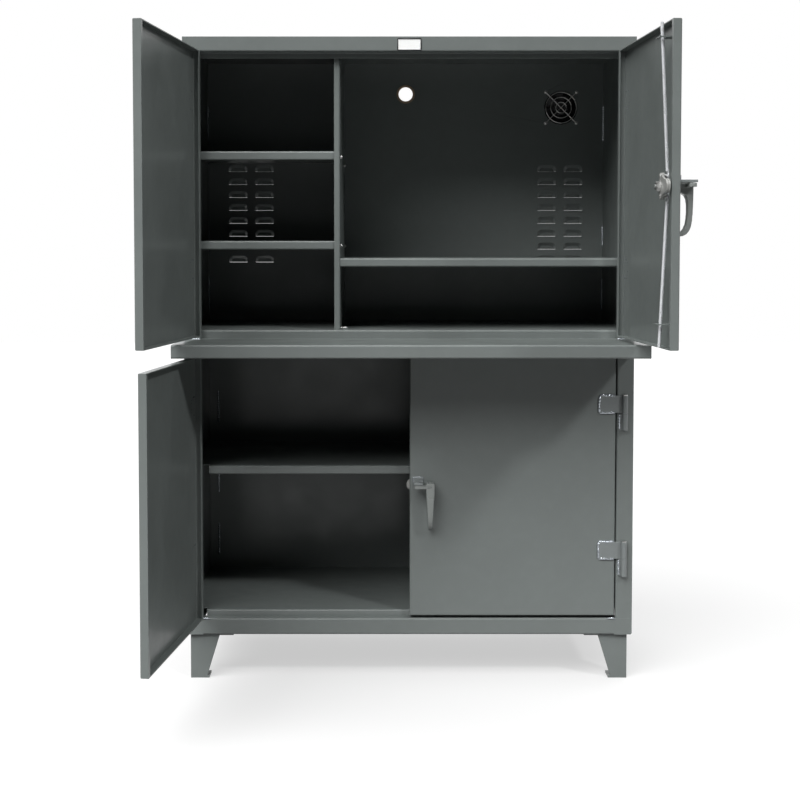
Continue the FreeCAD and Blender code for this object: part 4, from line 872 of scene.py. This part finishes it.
def plate_trim():
    """Thin dark border round the blank name plate."""
    low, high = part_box("name_plate")
    face = high.y - 0.8 * MM
    inset = 0.4 * MM
    radius = 1.5 * MM
    left, right = low.x + inset, high.x - inset
    bottom, top = low.z + inset, high.z - inset
    corners = [Vector((x, face, z)) for x, z in ((left, bottom), (right, bottom), (right, top),
                                                 (left, top))]
    form = bmesh.new()
    for start, end in zip(corners, corners[1:] + corners[:1]):
        run = end - start
        add_lathe(form, [(radius, 0), (radius, run.length)],
                  axis_matrix(start, run.normalized()), 10)
    mesh = mesh_from(form, "name_plate_border")
    new_piece("name_plate_border", mesh, "cabinet", "fan_plastic")


# -------------------------------------------------------------------------------------------------
# Weld beads
# -------------------------------------------------------------------------------------------------

def hinge_edge_of(door):
    """How far the door's hinged edge lies from the hinge axis, in millimetres."""
    mesh = nodes[f"{door.row}_door_{door.side}"].data
    to_door = door.matrix.inverted()
    return min(abs((to_door @ vertex.co).x) for vertex in mesh.vertices) / MM


def hinge_levels(door):
    """Bottom and top of each strap, from the door's middle, in millimetres."""
    return sorted(((low.z - door.middle) / MM, (high.z - door.middle) / MM)
                  for low, high in islands(f"{door.row}_hinge_straps_{door.side}"))


def strap_welds(door):
    """Beads round the three free edges of each strap on a door."""
    lines = []
    far = -(STRAP_LENGTH + WELD * 0.3)
    near = -(hinge_edge_of(door) + 1.5)
    y = FACE - WELD * 0.35
    for low, high in hinge_levels(door):
        lines.append((door.at(far, y, high), door.at(near, y, high), door.along(0, -1, 1)))
        lines.append((door.at(far, y, low), door.at(near, y, low), door.along(0, -1, -1)))
        lines.append((door.at(far, y, low), door.at(far, y, high), door.along(-1, -1, 0)))
    bead_piece(f"{door.row}_{door.side}_strap_welds", door.body, lines, WELD)


def hasp_welds(door):
    """Beads above and beside the hasp's base on the door."""
    y = FACE - 1.0
    near = SPINDLE - HASP_NEAR + 0.6
    far = SPINDLE - HASP_FAR - 0.6
    foot = HASP_RISE + 1
    top = HASP_RISE + HASP_BASE
    lines = [(door.at(near, y, foot), door.at(near, y, top), door.along(1, -1, 0)),
             (door.at(far, y, foot), door.at(far, y, top), door.along(-1, -1, 0)),
             (door.at(near, y, top), door.at(far, y, top), door.along(0, -1, 1))]
    bead_piece(f"{door.row}_hasp_welds", door.body, lines, HASP_WELD)


def leaf_welds():
    """Beads down the free edge of each frame leaf."""
    lines = []
    for low, high in islands("hinge_frame_leaves"):
        inward = -1 if low.x > 0 else 1
        edge = low.x if low.x > 0 else high.x
        x = edge + inward * WELD * 0.3 * MM
        y = high.y - WELD * 0.25 * MM
        lines.append((Vector((x, y, low.z + 2 * MM)), Vector((x, y, high.z - 2 * MM)),
                      Vector((inward, -1, 0))))
    bead_piece("frame_leaf_welds", "cabinet", lines, WELD)


def leg_welds():
    """Beads where each leg's two faces meet its top plate, on the inside of the angle."""
    lines = []
    reach = LEG_WELD_LENGTH * MM
    steel = LEG_STEEL * MM
    for end in ("front", "rear"):
        for side in ("left", "right"):
            low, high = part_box(f"leg_{end}_{side}")
            x = high.x if side == "right" else low.x
            y = low.y if end == "front" else high.y
            to_x = -1 if side == "right" else 1
            to_y = 1 if end == "front" else -1
            corner = Vector((x + to_x * steel, y + to_y * steel, high.z - steel))
            lines.append((corner, corner + Vector((to_x * reach, 0, 0)), Vector((0, to_y, -1))))
            lines.append((corner, corner + Vector((0, to_y * reach, 0)), Vector((to_x, 0, -1))))
    bead_piece("leg_welds", "cabinet", lines, LEG_WELD)


def seam_welds():
    """Stitches of weld up the backs, inside, at the innermost x of the sides' boxes.

    That is the corner in the upper cupboard. The lower sides have a flange, so there the stitches
    stand in line with the flange's edge, beside the corner.
    """
    lines = []
    sunk = 0.5 * MM
    for row, stitches in SEAM_STITCHES.items():
        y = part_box(f"{row}_back")[0].y - sunk
        for side, sign in (("left", -1), ("right", 1)):
            low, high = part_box(f"{row}_side_{side}")
            x = (low.x if sign > 0 else high.x) - sign * sunk
            for bottom, top in stitches:
                lines.append((Vector((x, y, bottom)), Vector((x, y, top)), Vector((-sign, -1, 0))))
    bead_piece("seam_welds", "cabinet", lines, SEAM_WELD)


def post_welds():
    """Beads where the posts stand on the work surface, and where they meet the bottom rail."""
    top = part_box("work_surface")[1].z
    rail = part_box("bottom_rail")[1].z
    out = Vector((0, -1, 1))
    lines = []
    for side, sign in (("left", -1), ("right", 1)):
        low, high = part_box(f"upper_stile_{side}")
        y = low.y - 0.4 * MM
        lines.append((Vector((low.x, y, top)), Vector((high.x, y, top)), out))
        inner = low.x if sign > 0 else high.x
        lines.append((Vector((inner - sign * MM, y, rail)),
                      Vector((inner - sign * POST_WELD_LENGTH * MM, y, rail)), out))
    bead_piece("post_welds", "cabinet", lines, POST_WELD)


# -------------------------------------------------------------------------------------------------
# Finishes of the CAD nodes
# -------------------------------------------------------------------------------------------------

# Width in millimetres of the softened edges. The last key that a node's name holds counts, and
# the plain sheets have SHEET_EDGE.
SHEET_EDGE = 0.35
EDGE_WIDTHS = {
    "hinge_straps": 1.4,
    "hinge_frame_leaves": 1.4,
    "hinge_pins": 0.9,
    "hasp": 1.0,
    "cam": 0.6,
    "cable_grommet": 1.0,
    "name_plate": 0.15,
    "fan_guard": 0.0,
    "fan_rotor": 0.3,
    "fan_housing": 1.0,
    "fan_filter_frame": 0.5,
    "rod_top": 0.0,
    "rod_bottom": 0.0,
    "leg": 0.9,
}
EDGE_ANGLE = 32
PLAIN_FINISHES = {
    "fan_guard": "bare_steel",
    "hinge_pins": "bare_steel",
    "fan_housing": "fan_plastic",
    "fan_rotor": "fan_plastic",
    "fan_filter_frame": "fan_plastic",
    "fan_filter": "foam",
    "cable_grommet": "rubber",
    "name_plate": "plate",
}


def finish_of(name):
    """Material of a CAD node."""
    if name in PLAIN_FINISHES:
        return PLAIN_FINISHES[name]
    if name.endswith("_cam"):
        return "latch_steel"
    if name.endswith(("_rod_top", "_rod_bottom")):
        return "rod_steel"
    if "hinge" in name or name.endswith("_hasp"):
        return "hinge_enamel"
    if "_door_" in name:
        return "door_enamel"
    return "cabinet_enamel"


def soften(item, width):
    """Round the edges of a CAD node by modifiers, which leave its own mesh alone."""
    mesh = item.data
    if "custom_normal" in mesh.attributes:
        mesh.attributes.remove(mesh.attributes["custom_normal"])
    mesh.polygons.foreach_set("use_smooth", [True] * len(mesh.polygons))
    weld = item.modifiers.new("weld", "WELD")
    weld.merge_threshold = 2e-6
    bevel = item.modifiers.new("soft_edges", "BEVEL")
    bevel.width = width
    bevel.segments = 2
    bevel.limit_method = "ANGLE"
    bevel.angle_limit = math.radians(EDGE_ANGLE)
    bevel.harden_normals = False
    normals = item.modifiers.new("even_normals", "WEIGHTED_NORMAL")
    normals.keep_sharp = False


def dress_nodes():
    """Finish every CAD node, and soften those with edges to soften."""
    for name, node in nodes.items():
        use_finish(node, finish_of(name))
        width = SHEET_EDGE
        for key, value in EDGE_WIDTHS.items():
            if key in name:
                width = value
        if width:
            soften(node, width * MM)


set_camera()
bpy.context.scene.view_settings.view_transform = "Standard"
set_world()
for lamp in LAMPS:
    studio_sun(*lamp)
set_floor()
dress_nodes()
for latch_door in LATCH_DOORS:
    handle(latch_door)
    latch_fasteners(latch_door)
    cam_face(latch_door)
    hasp_welds(latch_door)
shelf_fasteners()
fan_fasteners()
plate_trim()
for hung_door in DOORS.values():
    strap_welds(hung_door)
leaf_welds()
leg_welds()
seam_welds()
post_welds()
